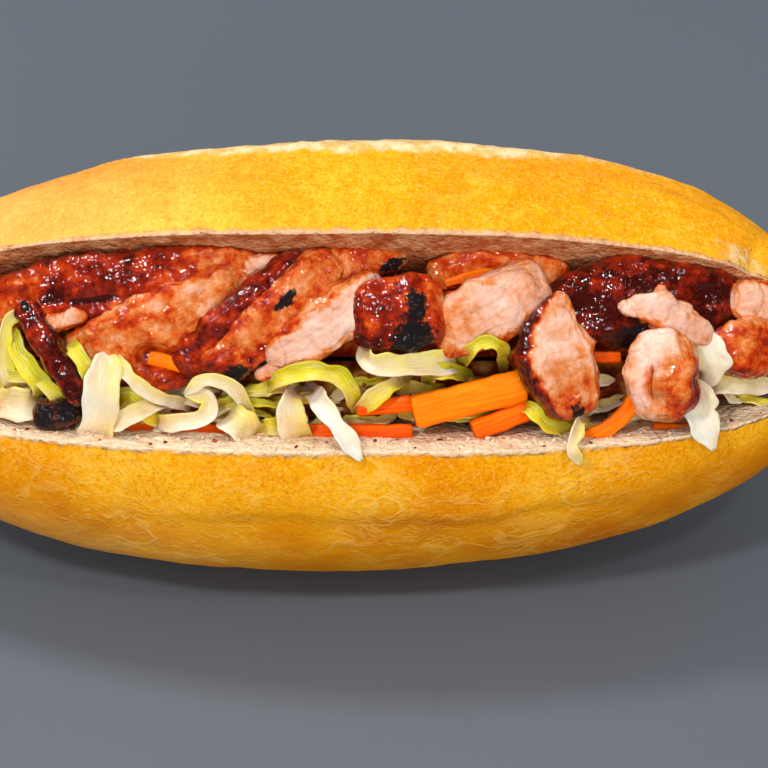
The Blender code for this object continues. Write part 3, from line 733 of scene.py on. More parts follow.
def chicken_finish():
    """Grilled chicken: pale cut meat with fibres, through tan and orange to dark glaze, with char."""
    f = Finish("grilled_chicken_meat")
    tone = f.attribute("tone")
    grain = f.attribute("grain", "Vector")
    fibre = f.noise(1.0, 4, 0.65, 0.0, f.stretched((0.22, 2.6, 2.6), grain))
    fine = f.noise(1100, 3, 0.65)
    uneven = f.times(f.less(f.noise(250, 4, 0.66), 0.5), 0.8)
    uneven = f.add(uneven, f.times(f.less(fibre, 0.5), 0.14))
    uneven = f.add(uneven, f.times(f.less(f.noise(620, 2, 0.7), 0.5), 0.5))
    mottled = f.add(tone, f.times(uneven, f.fit(tone, 0.1, 0.4, 0.3, 1.0)))
    colour = f.ramp(mottled, [
        (0.00, srgb(247, 206, 186)),
        (0.15, srgb(236, 174, 142)),
        (0.27, srgb(224, 136, 78)),
        (0.40, srgb(216, 108, 38)),
        (0.53, srgb(198, 62, 10)),
        (0.70, srgb(146, 31, 6)),
        (0.94, srgb(64, 11, 5)),
    ])
    charred = f.fit(f.add(f.attribute("char"), f.times(f.noise(620, 4, 0.75), 0.9)), 0.9, 1.06)
    colour = f.mix(charred, colour, srgb(30, 24, 25))
    gloss = f.fit(mottled, 0.12, 0.5, 0.42, 0.3)
    streaks = f.noise(1.0, 1, 0.5, 0.3, f.stretched((0.16, 0.5, 0.5), grain))
    ripples = f.add(f.times(streaks, 0.6), f.times(f.noise(800, 1), 0.45))
    wet = f.bump(f.add(ripples, f.noise(330, 1)), 0.0009, 0.9)
    height = f.add(f.times(fibre, 0.18), f.times(fine, 0.3))
    glaze = f.times(f.fit(mottled, 0.2, 0.45, 0.25, 1.0), f.fit(charred, 0.0, 1.0, 1.0, 0.45))
    f.set(Base_Color=colour, Roughness=f.add(gloss, f.times(fine, 0.08)))
    f.set(Subsurface_Weight=f.fit(mottled, 0.34, 0.12, 0.0, 0.3), Subsurface_Scale=0.002)
    f.set(Normal=f.bump(height, 0.0011, 0.8, Normal=wet))
    f.set(Specular_IOR_Level=f.fit(mottled, 0.2, 0.5, 0.3, 0.06))
    f.set(Coat_Weight=glaze, Coat_Roughness=0.06, Coat_IOR=1.5, Coat_Normal=wet)
    return f.material


def painted_shade_salad_finish():
    """The inside of the salad, seen only in the gaps between shreds: dark red-brown as painted shade, and
    stained by the glaze.
    """
    f = Finish("soaked_salad_core")
    colour = f.ramp(f.noise(150, 4, 0.6), [
        (0.34, srgb(84, 18, 8)),
        (0.48, srgb(134, 50, 14)),
        (0.58, srgb(168, 104, 30)),
        (0.70, srgb(178, 160, 60)),
    ])
    f.set(Base_Color=colour, Roughness=0.35, Normal=f.bump(f.noise(420, 4, 0.7), 0.0012, 0.8))
    return f.material


def carrot_finish():
    """Cut carrot, streaked along the stick, from bright to deep orange."""
    f = Finish("cut_carrot")
    streak = f.noise(1.0, 3, 0.6, 0.0, f.stretched((0.12, 1.6, 1.6), f.attribute("grain", "Vector")))
    bright = f.mix(f.fit(streak, 0.3, 0.7), srgb(246, 116, 0), srgb(255, 142, 6))
    deep = f.mix(f.fit(streak, 0.3, 0.7), srgb(228, 66, 0), srgb(246, 96, 0))
    # The shade attribute holds each stick's tone with painted shade on its lower side.
    f.set(Base_Color=f.mix(f.attribute("shade"), bright, deep))
    f.set(Roughness=f.fit(f.noise(300), 0.3, 0.7, 0.25, 0.42), Specular_IOR_Level=0.12)
    f.set(Normal=f.bump(f.add(streak, f.times(f.noise(700, 3), 0.4)), 0.0003, 0.5))
    return f.material


def lettuce_finish():
    """Shredded lettuce and white cabbage: white and cream ribs through yellow to yellow-green leaf."""
    f = Finish("lettuce_leaf")
    vein = f.noise(1.0, 3, 0.6, 0.3, f.stretched((0.25, 2.4, 2.4), f.attribute("grain", "Vector")))
    shifted = f.add(f.attribute("hue"), f.times(f.less(f.noise(130, 3), 0.5), 0.8))
    shifted = f.add(shifted, f.times(f.attribute("across"), 0.36))
    colour = f.ramp(shifted, [
        (0.00, srgb(252, 232, 212)),
        (0.32, srgb(242, 206, 154)),
        (0.54, srgb(246, 214, 110)),
        (0.76, srgb(246, 212, 36)),
        (1.00, srgb(200, 184, 12)),
    ])
    colour = f.mix(f.fit(vein, 0.5, 0.72, 0.0, 0.45), colour, srgb(255, 240, 206))
    f.set(Base_Color=colour, Roughness=f.fit(vein, 0.3, 0.7, 0.26, 0.42), Specular_IOR_Level=0.4)
    f.set(Normal=f.bump(f.add(vein, f.times(f.noise(500, 3), 0.5)), 0.0005, 0.7))
    f.set(Subsurface_Weight=0.28, Subsurface_Scale=0.003)
    return f.material


# The roll

ROLL_STATIONS = 250
ROLL_ROUND = 190
ROLL_INSIDE = 84
# The rows of the skin reach this share of the half length
ROLL_REACH = 0.998
# How much crust the last points before the lip show, counted from the lip, and how much juice stain
# and painted shade they carry at the upper lip
LIP_BLEND = (0.35, 0.55, 0.8)
LIP_STAIN_AND_SHADE = 0.5
# What is marked at each point: crust or crumb, flour, the darker underside with its painted shade, crumb
# with juice stain and painted shade, the peach tint of the left end and how wrinkled the crust is
CRUST_MARKS = ("crust", "slash", "underside_and_painted_shade", "juice_stain_and_painted_shade", "peach", "wrinkled")
PEACH_MOST = 0.7
# The darker underside, baked colour with painted shade, begins at these angles, in front and at the back,
# each with its blur
SHADED_UNDERSIDE = -44
SHADED_UNDERSIDE_BLUR = 4
BACK_LOW = 160
BACK_LOW_BLUR = 10
# The pale floury patch near the upper lip at the right end: strength, place, half length, angle, width
PATCH = (0.5, 88, 7, 36, 12)


def slash_flour(u, place):
    """How floury the slash is: most along its front edge, where the cut skin has lifted, then less."""
    front = smooth_step(place, -1.4, -1.15) * smooth_step(-place, -0.1, 0.55)
    middle = 0.4 * smooth_step(place, -0.6, 0.0) * smooth_step(-place, -1.0, -0.5)
    middle *= 1 + 0.5 * noise.noise(Vector((u / 3, place * 2, 1.7)))
    left = smooth_step(u, -56, -34)
    right = 1 - 0.6 * smooth_step(u, 36, 56) - 0.4 * smooth_step(u, 66, 84)
    return max(front, middle) * left * right


def crust_marks(u, degrees):
    """The marks of a point of the crust, in the order of CRUST_MARKS."""
    below = signed_angle(degrees)
    place, reach = slash_place(u, degrees)
    strength, patch_u, patch_long, patch_angle, patch_wide = PATCH
    floury = strength * hill(u - patch_u, patch_long) * hill(degrees - patch_angle, patch_wide)
    if reach:
        floury = max(floury, slash_flour(u, place))
    if below < 0:
        # Darker underside: baked colour with painted shade where the crust faces down.
        low = soft_step(SHADED_UNDERSIDE - below, SHADED_UNDERSIDE_BLUR)
        wrinkled = smooth_step(-below, 2, 20)
    else:
        low = 0.0
        wrinkled = 0.3 + 0.5 * smooth_step(below, 100, 140)
    if degrees < 300:
        low = max(low, soft_step(degrees - BACK_LOW, BACK_LOW_BLUR))
    peach = PEACH_MOST * smooth_step(-u, 0, 95) * smooth_step(abs(below + 30), 15, 60)
    return [1.0, floury, low, 0.0, peach, wrinkled]


def roll_row(u):
    """One closed outline of the slit roll, with the marks of each of its points."""
    first, last = lip_angles(u)
    outline = []
    marks = []
    for i in range(ROLL_ROUND + 1):
        angle = first + (last - first) * i / ROLL_ROUND
        outline.append(crust_point(u, angle))
        marks.append(crust_marks(u, math.degrees(angle)))
    for k, share in enumerate(LIP_BLEND):
        marks[k][0] = share
        marks[k][3] = LIP_STAIN_AND_SHADE
        marks[-1 - k][0] = share
    upper = outline[0]
    lower = outline[-1]
    for i in range(1, ROLL_INSIDE):
        side = math.sin((2 * i / ROLL_INSIDE - 1) * math.pi / 2)
        outline.append(crumb_point(u, side, upper, lower))
        # The crumb of the upper half faces down and takes juice stain and painted shade.
        marks.append([0.0, 0.0, 0.0, smooth_step(side, -0.75, 0.2), 0.0, 0.0])
    return outline, marks


def make_roll(material):
    rings = []
    marks = []
    for i in range(1, ROLL_STATIONS):
        u = HALF * math.sin(math.pi * (i / ROLL_STATIONS - 0.5)) * ROLL_REACH
        outline, row = roll_row(u)
        rings.append([placed(u, v, w) for w, v in outline])
        marks += row
    made = skin_rings("roll", rings, dict(zip(CRUST_MARKS, zip(*marks))))
    finish_piece(made, material, ["bread_roll"])


# The chicken

MEAT_RINGS = 118
MEAT_SIDES = 92
MEAT_CORNER = 4.4
MEAT_LUMP = 0.9
MEAT_LUMP_SIZE = 4.5
# How much the width of a piece wavers, as a share of it
RAGGED = {"pulled_pink": 0.3, "pulled_top": 0.3, "folded": 0.16, "thin_slice": 0.2, "pale_bit": 0.2}
RAGGED_USUALLY = 0.09
# The skin reaches from the rim this far onto the cut face, as shares of half the width, with a wavy edge
RIM_START = 0.58
RIM_FULL = 0.92
RIM_WAVE = [(0.16, 2.4, 3)]
# The back of a piece is at least this brown
BACK_TONE = 0.5
# Patches of tone, with their size, and streaks. A streak or a fibre has its strength, then how fast it
# changes along the piece and across it
PATCH_TONE = 0.2
PATCH_SIZE = 4.2
STREAK = (0.16, 0.14, 0.6)
STRAND = (0.26, 0.10, 0.55)
FOLD = (0.5, 0.16, 0.3)
# Unevenness with its size: of all meat, of blisters in the glaze, of dry fibres and of burnt spots
MEAT_ROUGH = (0.3, 2.6)
BLISTERS = (0.14, 2.3)
DRY_ROUGH = (0.11, 0.8)
CHAR_ROUGH = (0.5, 1.1)
# Char lies on the front and the sides, and a spot is this much wider across its piece than along it
CHAR_FRONT = -0.4
CHAR_WIDTH = 3.2
# The seams between bundles of muscle: their distance, half thickness, depth and how much browner they are
SEAM_SIZE = 5.5
SEAM_HALF = 0.05
SEAM_DEPTH = 0.35
SEAM_TONE = 0.07
# A slit's wave across the piece, the softness of its ends, and how much browner it is inside
SLIT_WAVE = (0.12, 9)
SLIT_BLUR = 0.06
SLIT_TONE = 0.75
# A carrot presses the meat back by this much at most, over this much on either side of it
CARROT_PRESS = 6.0
CARROT_PRESS_REACH = 2.4


def char_at(spots, t, across, front):
    """How charred a place is, from the piece's list of spots. They are on its front and its sides."""
    if front <= CHAR_FRONT or not spots:
        return 0.0
    away = min(math.hypot((t - place) / size, (across - side) / size / CHAR_WIDTH)
               for place, side, size in spots)
    return max(0.0, 1.0 - 0.5 * away)


def spread(tone):
    """Pale cut meat is even, and the browner it is the more its tone varies."""
    return 0.35 + 0.65 * smooth_step(tone, 0.12, 0.4)


def grained(along, a, b, kind, cell):
    """Noise drawn out along the piece, like muscle fibres."""
    lengthwise, crosswise = kind[1:]
    return noise.noise(Vector((along * lengthwise, a * crosswise, b * crosswise)) + cell)


def seam(point, cell):
    """1 along the thin seams between bundles of muscle, 0 elsewhere."""
    return hill(noise.noise((point + cell) / SEAM_SIZE), SEAM_HALF)


def meat_tone(point, tones, rims, t, side, front):
    """Tone of the surface: the cut face in the middle, the darker skin on the rims and behind."""
    ragged = layered(point, RIM_WAVE)
    face = mixed(tones, t)
    rim = rims[1] if side > 0 else rims[0]
    skin = face + (rim - face) * smooth_step(abs(side) + ragged, RIM_START, RIM_FULL)
    skin += (max(rim, BACK_TONE) - skin) * smooth_step(0.35 - front + ragged, 0.0, 0.8)
    return skin + spread(skin) * PATCH_TONE * fractal(point / PATCH_SIZE, 3)


def slit_marks(name, t, side, front):
    """What the piece's slit does to a place: how much browner and how much deeper it makes it."""
    if name not in SLITS or front < 0:
        return 0.0, 0.0
    start, end, place, half, deep, browner = SLITS[name]
    wave, waves = SLIT_WAVE
    bent = side - place - wave * math.sin(waves * t)
    torn = smooth_step(t, start - SLIT_BLUR, start + SLIT_BLUR) * hill(bent, half)
    torn *= smooth_step(-t, -end - SLIT_BLUR, -end + SLIT_BLUR)
    past = smooth_step(bent, 0.0, 0.3) * smooth_step(t, 0.2, 0.5)
    return SLIT_TONE * torn * torn + browner * past, deep * torn


def room_for_carrots(name, point):
    """Presses the meat back where a carrot stick lies on it, as in the solids."""
    for number in CARROTS_ON.get(name, ()):
        places, width = CARROTS[number][:2]
        line = [set_back(Vector(place)) for place in places]
        for start, end in zip(line, line[1:]):
            along = (end - start).xy
            share = min(1.0, max(0.0, (point - start).xy.dot(along) / along.length_squared))
            nearest = start.lerp(end, share)
            away = (point - nearest).xy.length
            rise = CARROT_PRESS * smooth_step(away, width / 2, width / 2 + CARROT_PRESS_REACH)
            point.z = min(point.z, nearest.z + rise)
    return point


def blister(point, size):
    """Rounded bumps that crowd together, from 0 in the grooves to 1 on the tops."""
    distances = noise.voronoi(point / size)[0]
    return min(1.0, 1.6 * (distances[1] - distances[0]))


def meat_relief(point, along, a, b, tone, burnt, cell):
    """Height of the surface in millimetres: strands and folds along the piece, seams and, where it is
    cooked, blisters. Burnt places are rough."""
    cooked = smooth_step(tone, 0.3, 0.7)
    height = MEAT_LUMP * noise.noise(point / MEAT_LUMP_SIZE)
    strand = 1 - 2.2 * abs(grained(along, a, b, STRAND, cell))
    height += STRAND[0] * strand * (1 - 0.6 * cooked)
    height += FOLD[0] * grained(along, a, b, FOLD, cell) - SEAM_DEPTH * seam(point, cell)
    height += MEAT_ROUGH[0] * fractal((point + cell) / MEAT_ROUGH[1], 3)
    height += BLISTERS[0] * cooked * (blister(point + cell, BLISTERS[1]) - 0.5)
    height += DRY_ROUGH[0] * (1 - 0.7 * cooked) * fractal(point / DRY_ROUGH[1], 2)
    return height + CHAR_ROUGH[0] * burnt * fractal(point / CHAR_ROUGH[1], 2)


def make_meat(name, material):
    """One piece of chicken, with the same form as its solid and the fibres and skin worked into it."""
    points, widths, thick, blunt, turn, tones, rims, spots = CHICKEN[name]
    cell = Vector((7.3 * len(name), 3.1 * widths[1], 0))
    ragged = RAGGED.get(name, RAGGED_USUALLY)
    rings = []
    tone, char, grain = [], [], []
    for t, along, centre, across, out in stick_places(points, MEAT_RINGS, turn):
        closing = end_closing(t, blunt)
        width = mixed(widths, t)
        ring = []
        for a, b in section_places(MEAT_SIDES, width, thick, MEAT_CORNER):
            notch = 1 + ragged * noise.noise(Vector((along / 3.2, a / 4, 0)) + cell)
            point = centre + (across * a * notch + out * b) * closing
            side = 2 * a / width
            front = 2 * b / thick
            shade = meat_tone(point + cell, tones, rims, t, side, front)
            shade += spread(shade) * STREAK[0] * grained(along, a, b, STREAK, -cell)
            shade += SEAM_TONE * seam(point, cell)
            browner, deeper = slit_marks(name, t, side, front)
            shade += browner
            burnt = char_at(spots, t, side, front)
            height = meat_relief(point, along, a, b, shade, burnt, cell) - deeper
            point += (across * a + out * b).normalized() * height * closing
            ring.append(placed(*room_for_carrots(name, point)))
            tone.append(shade)
            char.append(burnt)
            grain.append((along, a, b))
        rings.append(ring)
    made = skin_rings("meat_" + name, rings, {"tone": tone, "char": char, "grain": grain})
    finish_piece(made, material, ["chicken_" + name])


# The carrots

CARROT_RINGS = 40
CARROT_SIDES = 32
CARROT_CORNER = 5
CARROT_BLUNT = 14
CARROT_LUMP = 0.3
CARROT_LUMP_SIZE = 3.0
CARROT_ROUGH = [(0.1, 0.9, 2)]
# Painted shade: how much deeper the colour gets towards the lower side of a stick
CARROT_PAINTED_SHADE_LOW_SIDE = 0.35
# The pattern is moved along from stick to stick by this much
CARROT_PATTERN_STEP = 50


def make_carrot(number, material):
    """A cut stick: a box swept along its line with softened edges and slightly uneven faces."""
    points, width, thick, shade = CARROTS[number]
    rings = []
    tones_with_painted_shade, grain = [], []
    for t, along, centre, across, out in stick_places(points, CARROT_RINGS):
        closing = end_closing(t, CARROT_BLUNT)
        ring = []
        for a, b in section_places(CARROT_SIDES, width, thick, CARROT_CORNER):
            sideways = across * a + out * b
            point = centre + sideways * closing
            bump = CARROT_LUMP * noise.noise(point / CARROT_LUMP_SIZE) + layered(point, CARROT_ROUGH)
            ring.append(placed(*(point + sideways.normalized() * bump * closing)))
            # Each point's shade is the stick's tone plus painted shade on its lower side.
            tones_with_painted_shade.append(min(1.0, shade + CARROT_PAINTED_SHADE_LOW_SIDE * max(0.0, -2 * a / width)))
            grain.append((along + number * CARROT_PATTERN_STEP, a, b))
        rings.append(ring)
    made = skin_rings(f"carrot_stick_{number + 1:02d}", rings, {"shade": tones_with_painted_shade, "grain": grain})
    finish_piece(made, material, [f"carrot_{number + 1:02d}"])


# The filling behind the pieces that show

BED_STATIONS = 170
BED_DEEP = 22
BED_FACE = 40
BED_ROUGH = [(1.0, 4.5, 3)]
# The lumps of the face fade away over this depth
BED_FADE = 14


def share_to_height(u, w, share):
    """The height at a depth of the opening, for a share from -1 on its floor to 1 under its roof."""
    lip, crown = (LOWER_LIP, LOWER_CROWN) if share < 0 else (UPPER_LIP, UPPER_CROWN)
    mouth = crust_point(u, lip_angle(u, lip, crown), False)[0]
    hinge = hinge_depth(u, mouth)
    return share * (lip * open_share(u) * max(0.0, w - hinge) / (mouth - hinge))


def bed_outline(u, span, front):
    """The bed's section as (depth, share of the height), and the depth of its face."""
    lowest, highest = span
    share = taper(u)
    back = hinge_depth(u, SECTION_CENTRE + HALF_DEPTH * share) + BED_SET_IN
    face = SECTION_CENTRE + (front - SECTION_CENTRE) * share
    depths = [back + (face - back) * k / BED_DEEP for k in range(BED_DEEP)]
    line = [(depth, lowest) for depth in depths]
    for k in range(BED_FACE + 1):
        t = k / BED_FACE
        line.append((face + BED_BULGE * math.sin(math.pi * t), lowest + (highest - lowest) * t))
    return line + [(depth, highest) for depth in reversed(depths)], face


def make_bed(name, span, front, relief, tones, material, node):
    """Filling behind the pieces that show: a lumpy wedge with its face just behind them."""
    rings = []
    tone, grain = [], []
    for i in range(BED_STATIONS + 1):
        u = BED_HALF_LENGTH * math.sin(math.pi * (i / BED_STATIONS - 0.5))
        line, face = bed_outline(u, span, front)
        ring = []
        for w, part in line:
            v = share_to_height(u, min(w, face), part)
            here = Vector((u, v, w))
            push = relief * (layered(here, BED_ROUGH) + 0.6 * noise.noise(here / 9.0))
            w += push * max(0.0, 1 - (face - w) / BED_FADE)
            ring.append(placed(u, v, w))
            tone.append(tones[0] + tones[1] * noise.noise(here / 6.0))
            grain.append((u, v, w))
        rings.append(ring)
    made = skin_rings(name, rings, {"tone": tone, "char": [0.0] * len(tone), "grain": grain})
    finish_piece(made, material, [node])


# Geometry Nodes helpers

class Tree(Nodes):
    """A Geometry Nodes tree under construction, with named inputs, the material as the last of them."""

    def __init__(self, name, inputs):
        super().__init__(bpy.data.node_groups.new(name, "GeometryNodeTree"))
        face = self.tree.interface
        face.new_socket("Geometry", in_out="INPUT", socket_type="NodeSocketGeometry")
        for label, kind, value in inputs:
            face.new_socket(label, in_out="INPUT", socket_type="NodeSocket" + kind).default_value = value
        face.new_socket("Material", in_out="INPUT", socket_type="NodeSocketMaterial")
        face.new_socket("Geometry", in_out="OUTPUT", socket_type="NodeSocketGeometry")
        self.start = self.node("NodeGroupInput").outputs
        self.end = self.node("NodeGroupOutput")

    def named(self, name, kind):
        """The values that the guide stores under a name."""
        found = self.node("GeometryNodeInputNamedAttribute", {"data_type": kind}, Name=name)
        return next(s for s in found.outputs if s.enabled and s.name == "Attribute")

    def random(self, kind, low, high):
        """A value for each point between low and high, from the tree's Seed."""
        made = self.node("FunctionNodeRandomValue", {"data_type": kind}, Seed=self.start["Seed"])
        sockets = {s.name: s for s in made.inputs if s.enabled}
        self.put(sockets["Min"], low)
        self.put(sockets["Max"], high)
        return next(s for s in made.outputs if s.enabled)

    def finish(self, geometry):
        real = self.out("GeometryNodeRealizeInstances", Geometry=geometry)
        dressed = self.out("GeometryNodeSetMaterial", Geometry=real, Material=self.start["Material"])
        self.put(self.end.inputs[0], dressed)
        return self.tree


def grown(base, tree, values, name):
    """Runs a tree on a base object and gives back its result as a plain mesh object."""
    modifier = base.modifiers.new(tree.name, "NODES")
    modifier.node_group = tree
    for item in tree.interface.items_tree:
        if item.item_type == "SOCKET" and item.in_out == "INPUT" and item.name in values:
            modifier[item.identifier] = values[item.name]
    made = shown(name, shaped(base))
    base.modifiers.remove(modifier)
    return made


# The lettuce

# How far a strip's middle line sways and how much its width wavers, as shares of the width, each with
# how fast it changes along the strip. STRIP_TURN is how fast the turn of its flat side changes
STRIP_SWAY = (0.09, 9)
STRIP_WAVER = (0.34, 7)
STRIP_TURN = 3.1
# A strip's ends are this share of its width, and reach the full width at this rate
TIP_SHARE = 0.3
TIP_RATE = 5
STRIP_PLACES = 46
STRIP_CURL = 0.7
# The finer shreds: how many, places along each, how much their flat sides turn and their hues; then
# where they lie along the roll and across the opening, how long and how wide they are
LITTLE_SHREDS = 70
LITTLE_PLACES = 14
LITTLE_CURL = 1.6
LITTLE_HUES = (0.3, 0.35, 0.5, 0.6, 0.75, 0.9)
LITTLE_SPAN = (-95, 97)
LITTLE_BAND = (-16, -6)
LITTLE_LENGTHS = (7, 17)
LITTLE_WIDTHS = (1.4, 3.4)
# Their least depth, how much it varies, and how much deeper they lie for each millimetre below a height
LITTLE_DEPTH = (53, 5.5)
LITTLE_SLOPE = (0.28, -12)
# How much a finer shred arches, and how flat it lies
LITTLE_ARCH = 2.2
LITTLE_FLAT = 0.35


def strip_line(points, widths, extra, count, curl, seed):
    """A guide along a smooth path, with its width and the way its flat side faces at each place."""
    path = [set_back(place) for place in smooth_path(points, count)]
    line = []
    for i, (place, across, out) in enumerate(frames_along(path)):
        t = i / count
        tip = min(1.0, TIP_SHARE + TIP_RATE * t, TIP_SHARE + TIP_RATE * (1 - t))
        turn = curl * noise.noise(Vector((t * STRIP_TURN, seed, 0.7)))
        facing = across * math.cos(turn) + out * math.sin(turn)
        waver = STRIP_WAVER[0] * noise.noise(Vector((t * STRIP_WAVER[1], seed, 4.2)))
        width = mixed(widths, t) * tip * (1 + waver)
        sway = STRIP_SWAY[0] * width * noise.noise(Vector((t * STRIP_SWAY[1], seed, 9.1)))
        line.append((placed(*(place + sway * across)), width * MM, direction(facing), extra))
    return line


def line_object(lines):
    """A guide of bare edges. Each line is a list of (point, width, facing, extra), for the tree."""
    marks = [mark for line in lines for mark in line]
    edges, alongs = [], []
    for line in lines:
        alongs.append(0.0)
        for before, after in zip(line, line[1:]):
            edges.append((len(alongs) - 1, len(alongs)))
            alongs.append(alongs[-1] + (after[0] - before[0]).length / MM)
    points, widths, facings, extras = zip(*marks)
    mesh = bpy.data.meshes.new("guide_lines")
    mesh.from_pydata(points, edges, [])
    for label, numbers in (("width", widths), ("facing", facings), ("extra", extras), ("along", alongs)):
        add_numbers(mesh, label, numbers)
    return shown("guide_lines", mesh)


def ribbon_tree():
    """A thin leafy strip along each line: a cupped row of points swept along it, then waved."""
    tree = Tree("leaf_strip", [
        ("Points across", "Int", 9),
        ("Cup", "Float", 0.7),
        ("Wave height", "Float", 0.0009),
        ("Wave size", "Float", 210.0),
    ])
    curve = tree.out("GeometryNodeMeshToCurve", Mesh=tree.start["Geometry"])
    curve = tree.out("GeometryNodeSetCurveNormal", {"mode": "FREE"}, Curve=curve,
                     Normal=tree.named("facing", "FLOAT_VECTOR"))
    row = tree.out("GeometryNodeCurvePrimitiveLine", Start=(-0.5, 0, 0), End=(0.5, 0, 0))
    row = tree.out("GeometryNodeResampleCurve", Curve=row, Count=tree.start["Points across"])
    across = tree.out("ShaderNodeSeparateXYZ", Vector=tree.out("GeometryNodeInputPosition"))
    cup = tree.out("ShaderNodeCombineXYZ", Y=tree.times(tree.times(across, across), tree.start["Cup"]))
    row = tree.out("GeometryNodeSetPosition", Geometry=row, Offset=cup)
    row = tree.out("GeometryNodeStoreNamedAttribute", {"data_type": "FLOAT", "domain": "POINT"},
                   Geometry=row, Name="across", Value=across)
    sheet = tree.out("GeometryNodeCurveToMesh", Curve=curve, Profile_Curve=row,
                     Scale=tree.named("width", "FLOAT"))
    ripple = tree.out("ShaderNodeTexNoise", Scale=tree.start["Wave size"])
    lift = tree.times(tree.less(tree.times(ripple, 2.0), 1.0), tree.start["Wave height"])
    push = tree.vector("SCALE", tree.out("GeometryNodeInputNormal"), lift)
    return tree.finish(tree.out("GeometryNodeSetPosition", Geometry=sheet, Offset=push))


def thicken(made):
    """Gives a sheet of shreds its thickness."""
    solid = made.modifiers.new("thickness", "SOLIDIFY")
    solid.thickness = SHRED_THICK * MM
    solid.offset = 0.0
    mesh = shaped(made)
    made.modifiers.remove(solid)
    made.data = mesh


def mark_shreds(mesh, across_scale):
    """Stores the pattern's coordinates along and across each strip, and the hue its line carries."""
    values = []
    for label in ("along", "across", "extra"):
        numbers = np.zeros(len(mesh.vertices), np.float32)
        mesh.attributes[label].data.foreach_get("value", numbers)
        values.append(numbers)
    along, across, extra = values
    grain = np.stack([along + extra * 97, across * across_scale, extra * 31], axis=1)
    add_numbers(mesh, "grain", grain.tolist())
    add_numbers(mesh, "hue", extra.tolist())


def grow_shreds(lines, values, name, material, across_scale, nodes=()):
    """One piece of leafy strips along the lines."""
    guide = line_object(lines)
    made = grown(guide, ribbon_tree(), {"Material": material, **values}, name)
    bpy.data.objects.remove(guide)
    mark_shreds(made.data, across_scale)
    thicken(made)
    finish_piece(made, material, nodes)


def make_shreds(material):
    """The lettuce ribbons that show, each along its own line."""
    lines = []
    for number, (points, widths, hue) in enumerate(SHREDS):
        lines.append(strip_line(points, widths, hue, STRIP_PLACES, STRIP_CURL, number * 1.7))
    grow_shreds(lines, {}, "lettuce_shreds", material, 5.0, ["lettuce_salad"])


def make_little_shreds(material):
    """The tangle of finer shreds that fills the salad between the large ones."""
    draw = random.Random(11)
    lines = []
    for number in range(LITTLE_SHREDS):
        u = draw.uniform(*LITTLE_SPAN)
        v = draw.uniform(*LITTLE_BAND) * open_share(u)
        depth = LITTLE_DEPTH[0] + LITTLE_DEPTH[1] * draw.random()
        depth += LITTLE_SLOPE[0] * min(0, v - LITTLE_SLOPE[1])
        length = draw.uniform(*LITTLE_LENGTHS)
        lean = draw.uniform(-1.0, 1.0)
        points = []
        for k in range(4):
            t = k / 3 - 0.5
            points.append((
                max(-99, min(99, u + length * t * math.cos(lean))),
                v + length * t * math.sin(lean) * LITTLE_FLAT + draw.uniform(-1.3, 1.3),
                depth + LITTLE_ARCH * math.cos(math.pi * t) + draw.uniform(-1, 1),
            ))
        hue = draw.choice(LITTLE_HUES)
        width = draw.uniform(*LITTLE_WIDTHS)
        widths = (width, width, width * 0.7)
        lines.append(strip_line(points, widths, hue, LITTLE_PLACES, LITTLE_CURL, number * 0.9))
    finer = {"Points across": 5, "Wave height": 0.0005}
    grow_shreds(lines, finer, "lettuce_tangle", material, 3.0)


# The crumbs

SHELF_STATIONS = 120
SHELF_REACH = 97.0
SHELF_SHARES = (0.995, 0.965, 0.93, 0.88)
FULL_TURN = (6.28, 6.28, 6.28)
# How far a crumb's surface moves at a roughness of 1, in metres, and how fine its bumps are
CRUMB_BUMP = 0.003
CRUMB_BUMP_SCALE = 1500.0


def crumb_shelf():
    """A narrow strip of the crumb, just inside the lower lip, where crumbs lie."""
    points, faces = [], []
    for i in range(SHELF_STATIONS + 1):
        u = SHELF_REACH * (2 * i / SHELF_STATIONS - 1)
        ends = [crust_point(u, angle) for angle in lip_angles(u)]
        for share in SHELF_SHARES:
            w, v = crumb_point(u, -share, *ends)
            points.append(placed(u, v, w))
            if i and share != SHELF_SHARES[0]:
                here = len(points) - 1
                before = here - len(SHELF_SHARES)
                faces.append((before - 1, here - 1, here, before))
    mesh = bpy.data.meshes.new("crumb_shelf")
    mesh.from_pydata(points, [], faces)
    return shown("crumb_shelf", mesh)


def crumbs_tree():
    """Rough little lumps of uneven size scattered over the base."""
    tree = Tree("scattered_crumbs", [
        ("Crumbs per square metre", "Float", 120000.0),
        ("Smallest", "Float", 0.00015),
        ("Largest", "Float", 0.0006),
        ("Roughness", "Float", 0.45),
        ("Seed", "Int", 5),
    ])
    start = tree.start
    points = tree.out("GeometryNodeDistributePointsOnFaces", Mesh=start["Geometry"], Seed=start["Seed"],
                      Density=start["Crumbs per square metre"])
    ball = tree.out("GeometryNodeMeshIcoSphere", Radius=1.0, Subdivisions=3)
    turn = tree.random("FLOAT_VECTOR", (0, 0, 0), FULL_TURN)
    size = tree.random("FLOAT", start["Smallest"], start["Largest"])
    balls = tree.out("GeometryNodeInstanceOnPoints", Points=points, Instance=ball, Rotation=turn,
                     Scale=size)
    real = tree.out("GeometryNodeRealizeInstances", Geometry=balls)
    bumps = tree.node("ShaderNodeTexNoise", Scale=CRUMB_BUMP_SCALE, Detail=2.0).outputs["Color"]
    centred = tree.vector("SUBTRACT", bumps, (0.5, 0.5, 0.5))
    push = tree.vector("SCALE", centred, tree.times(start["Roughness"], CRUMB_BUMP))
    return tree.finish(tree.out("GeometryNodeSetPosition", Geometry=real, Offset=push))


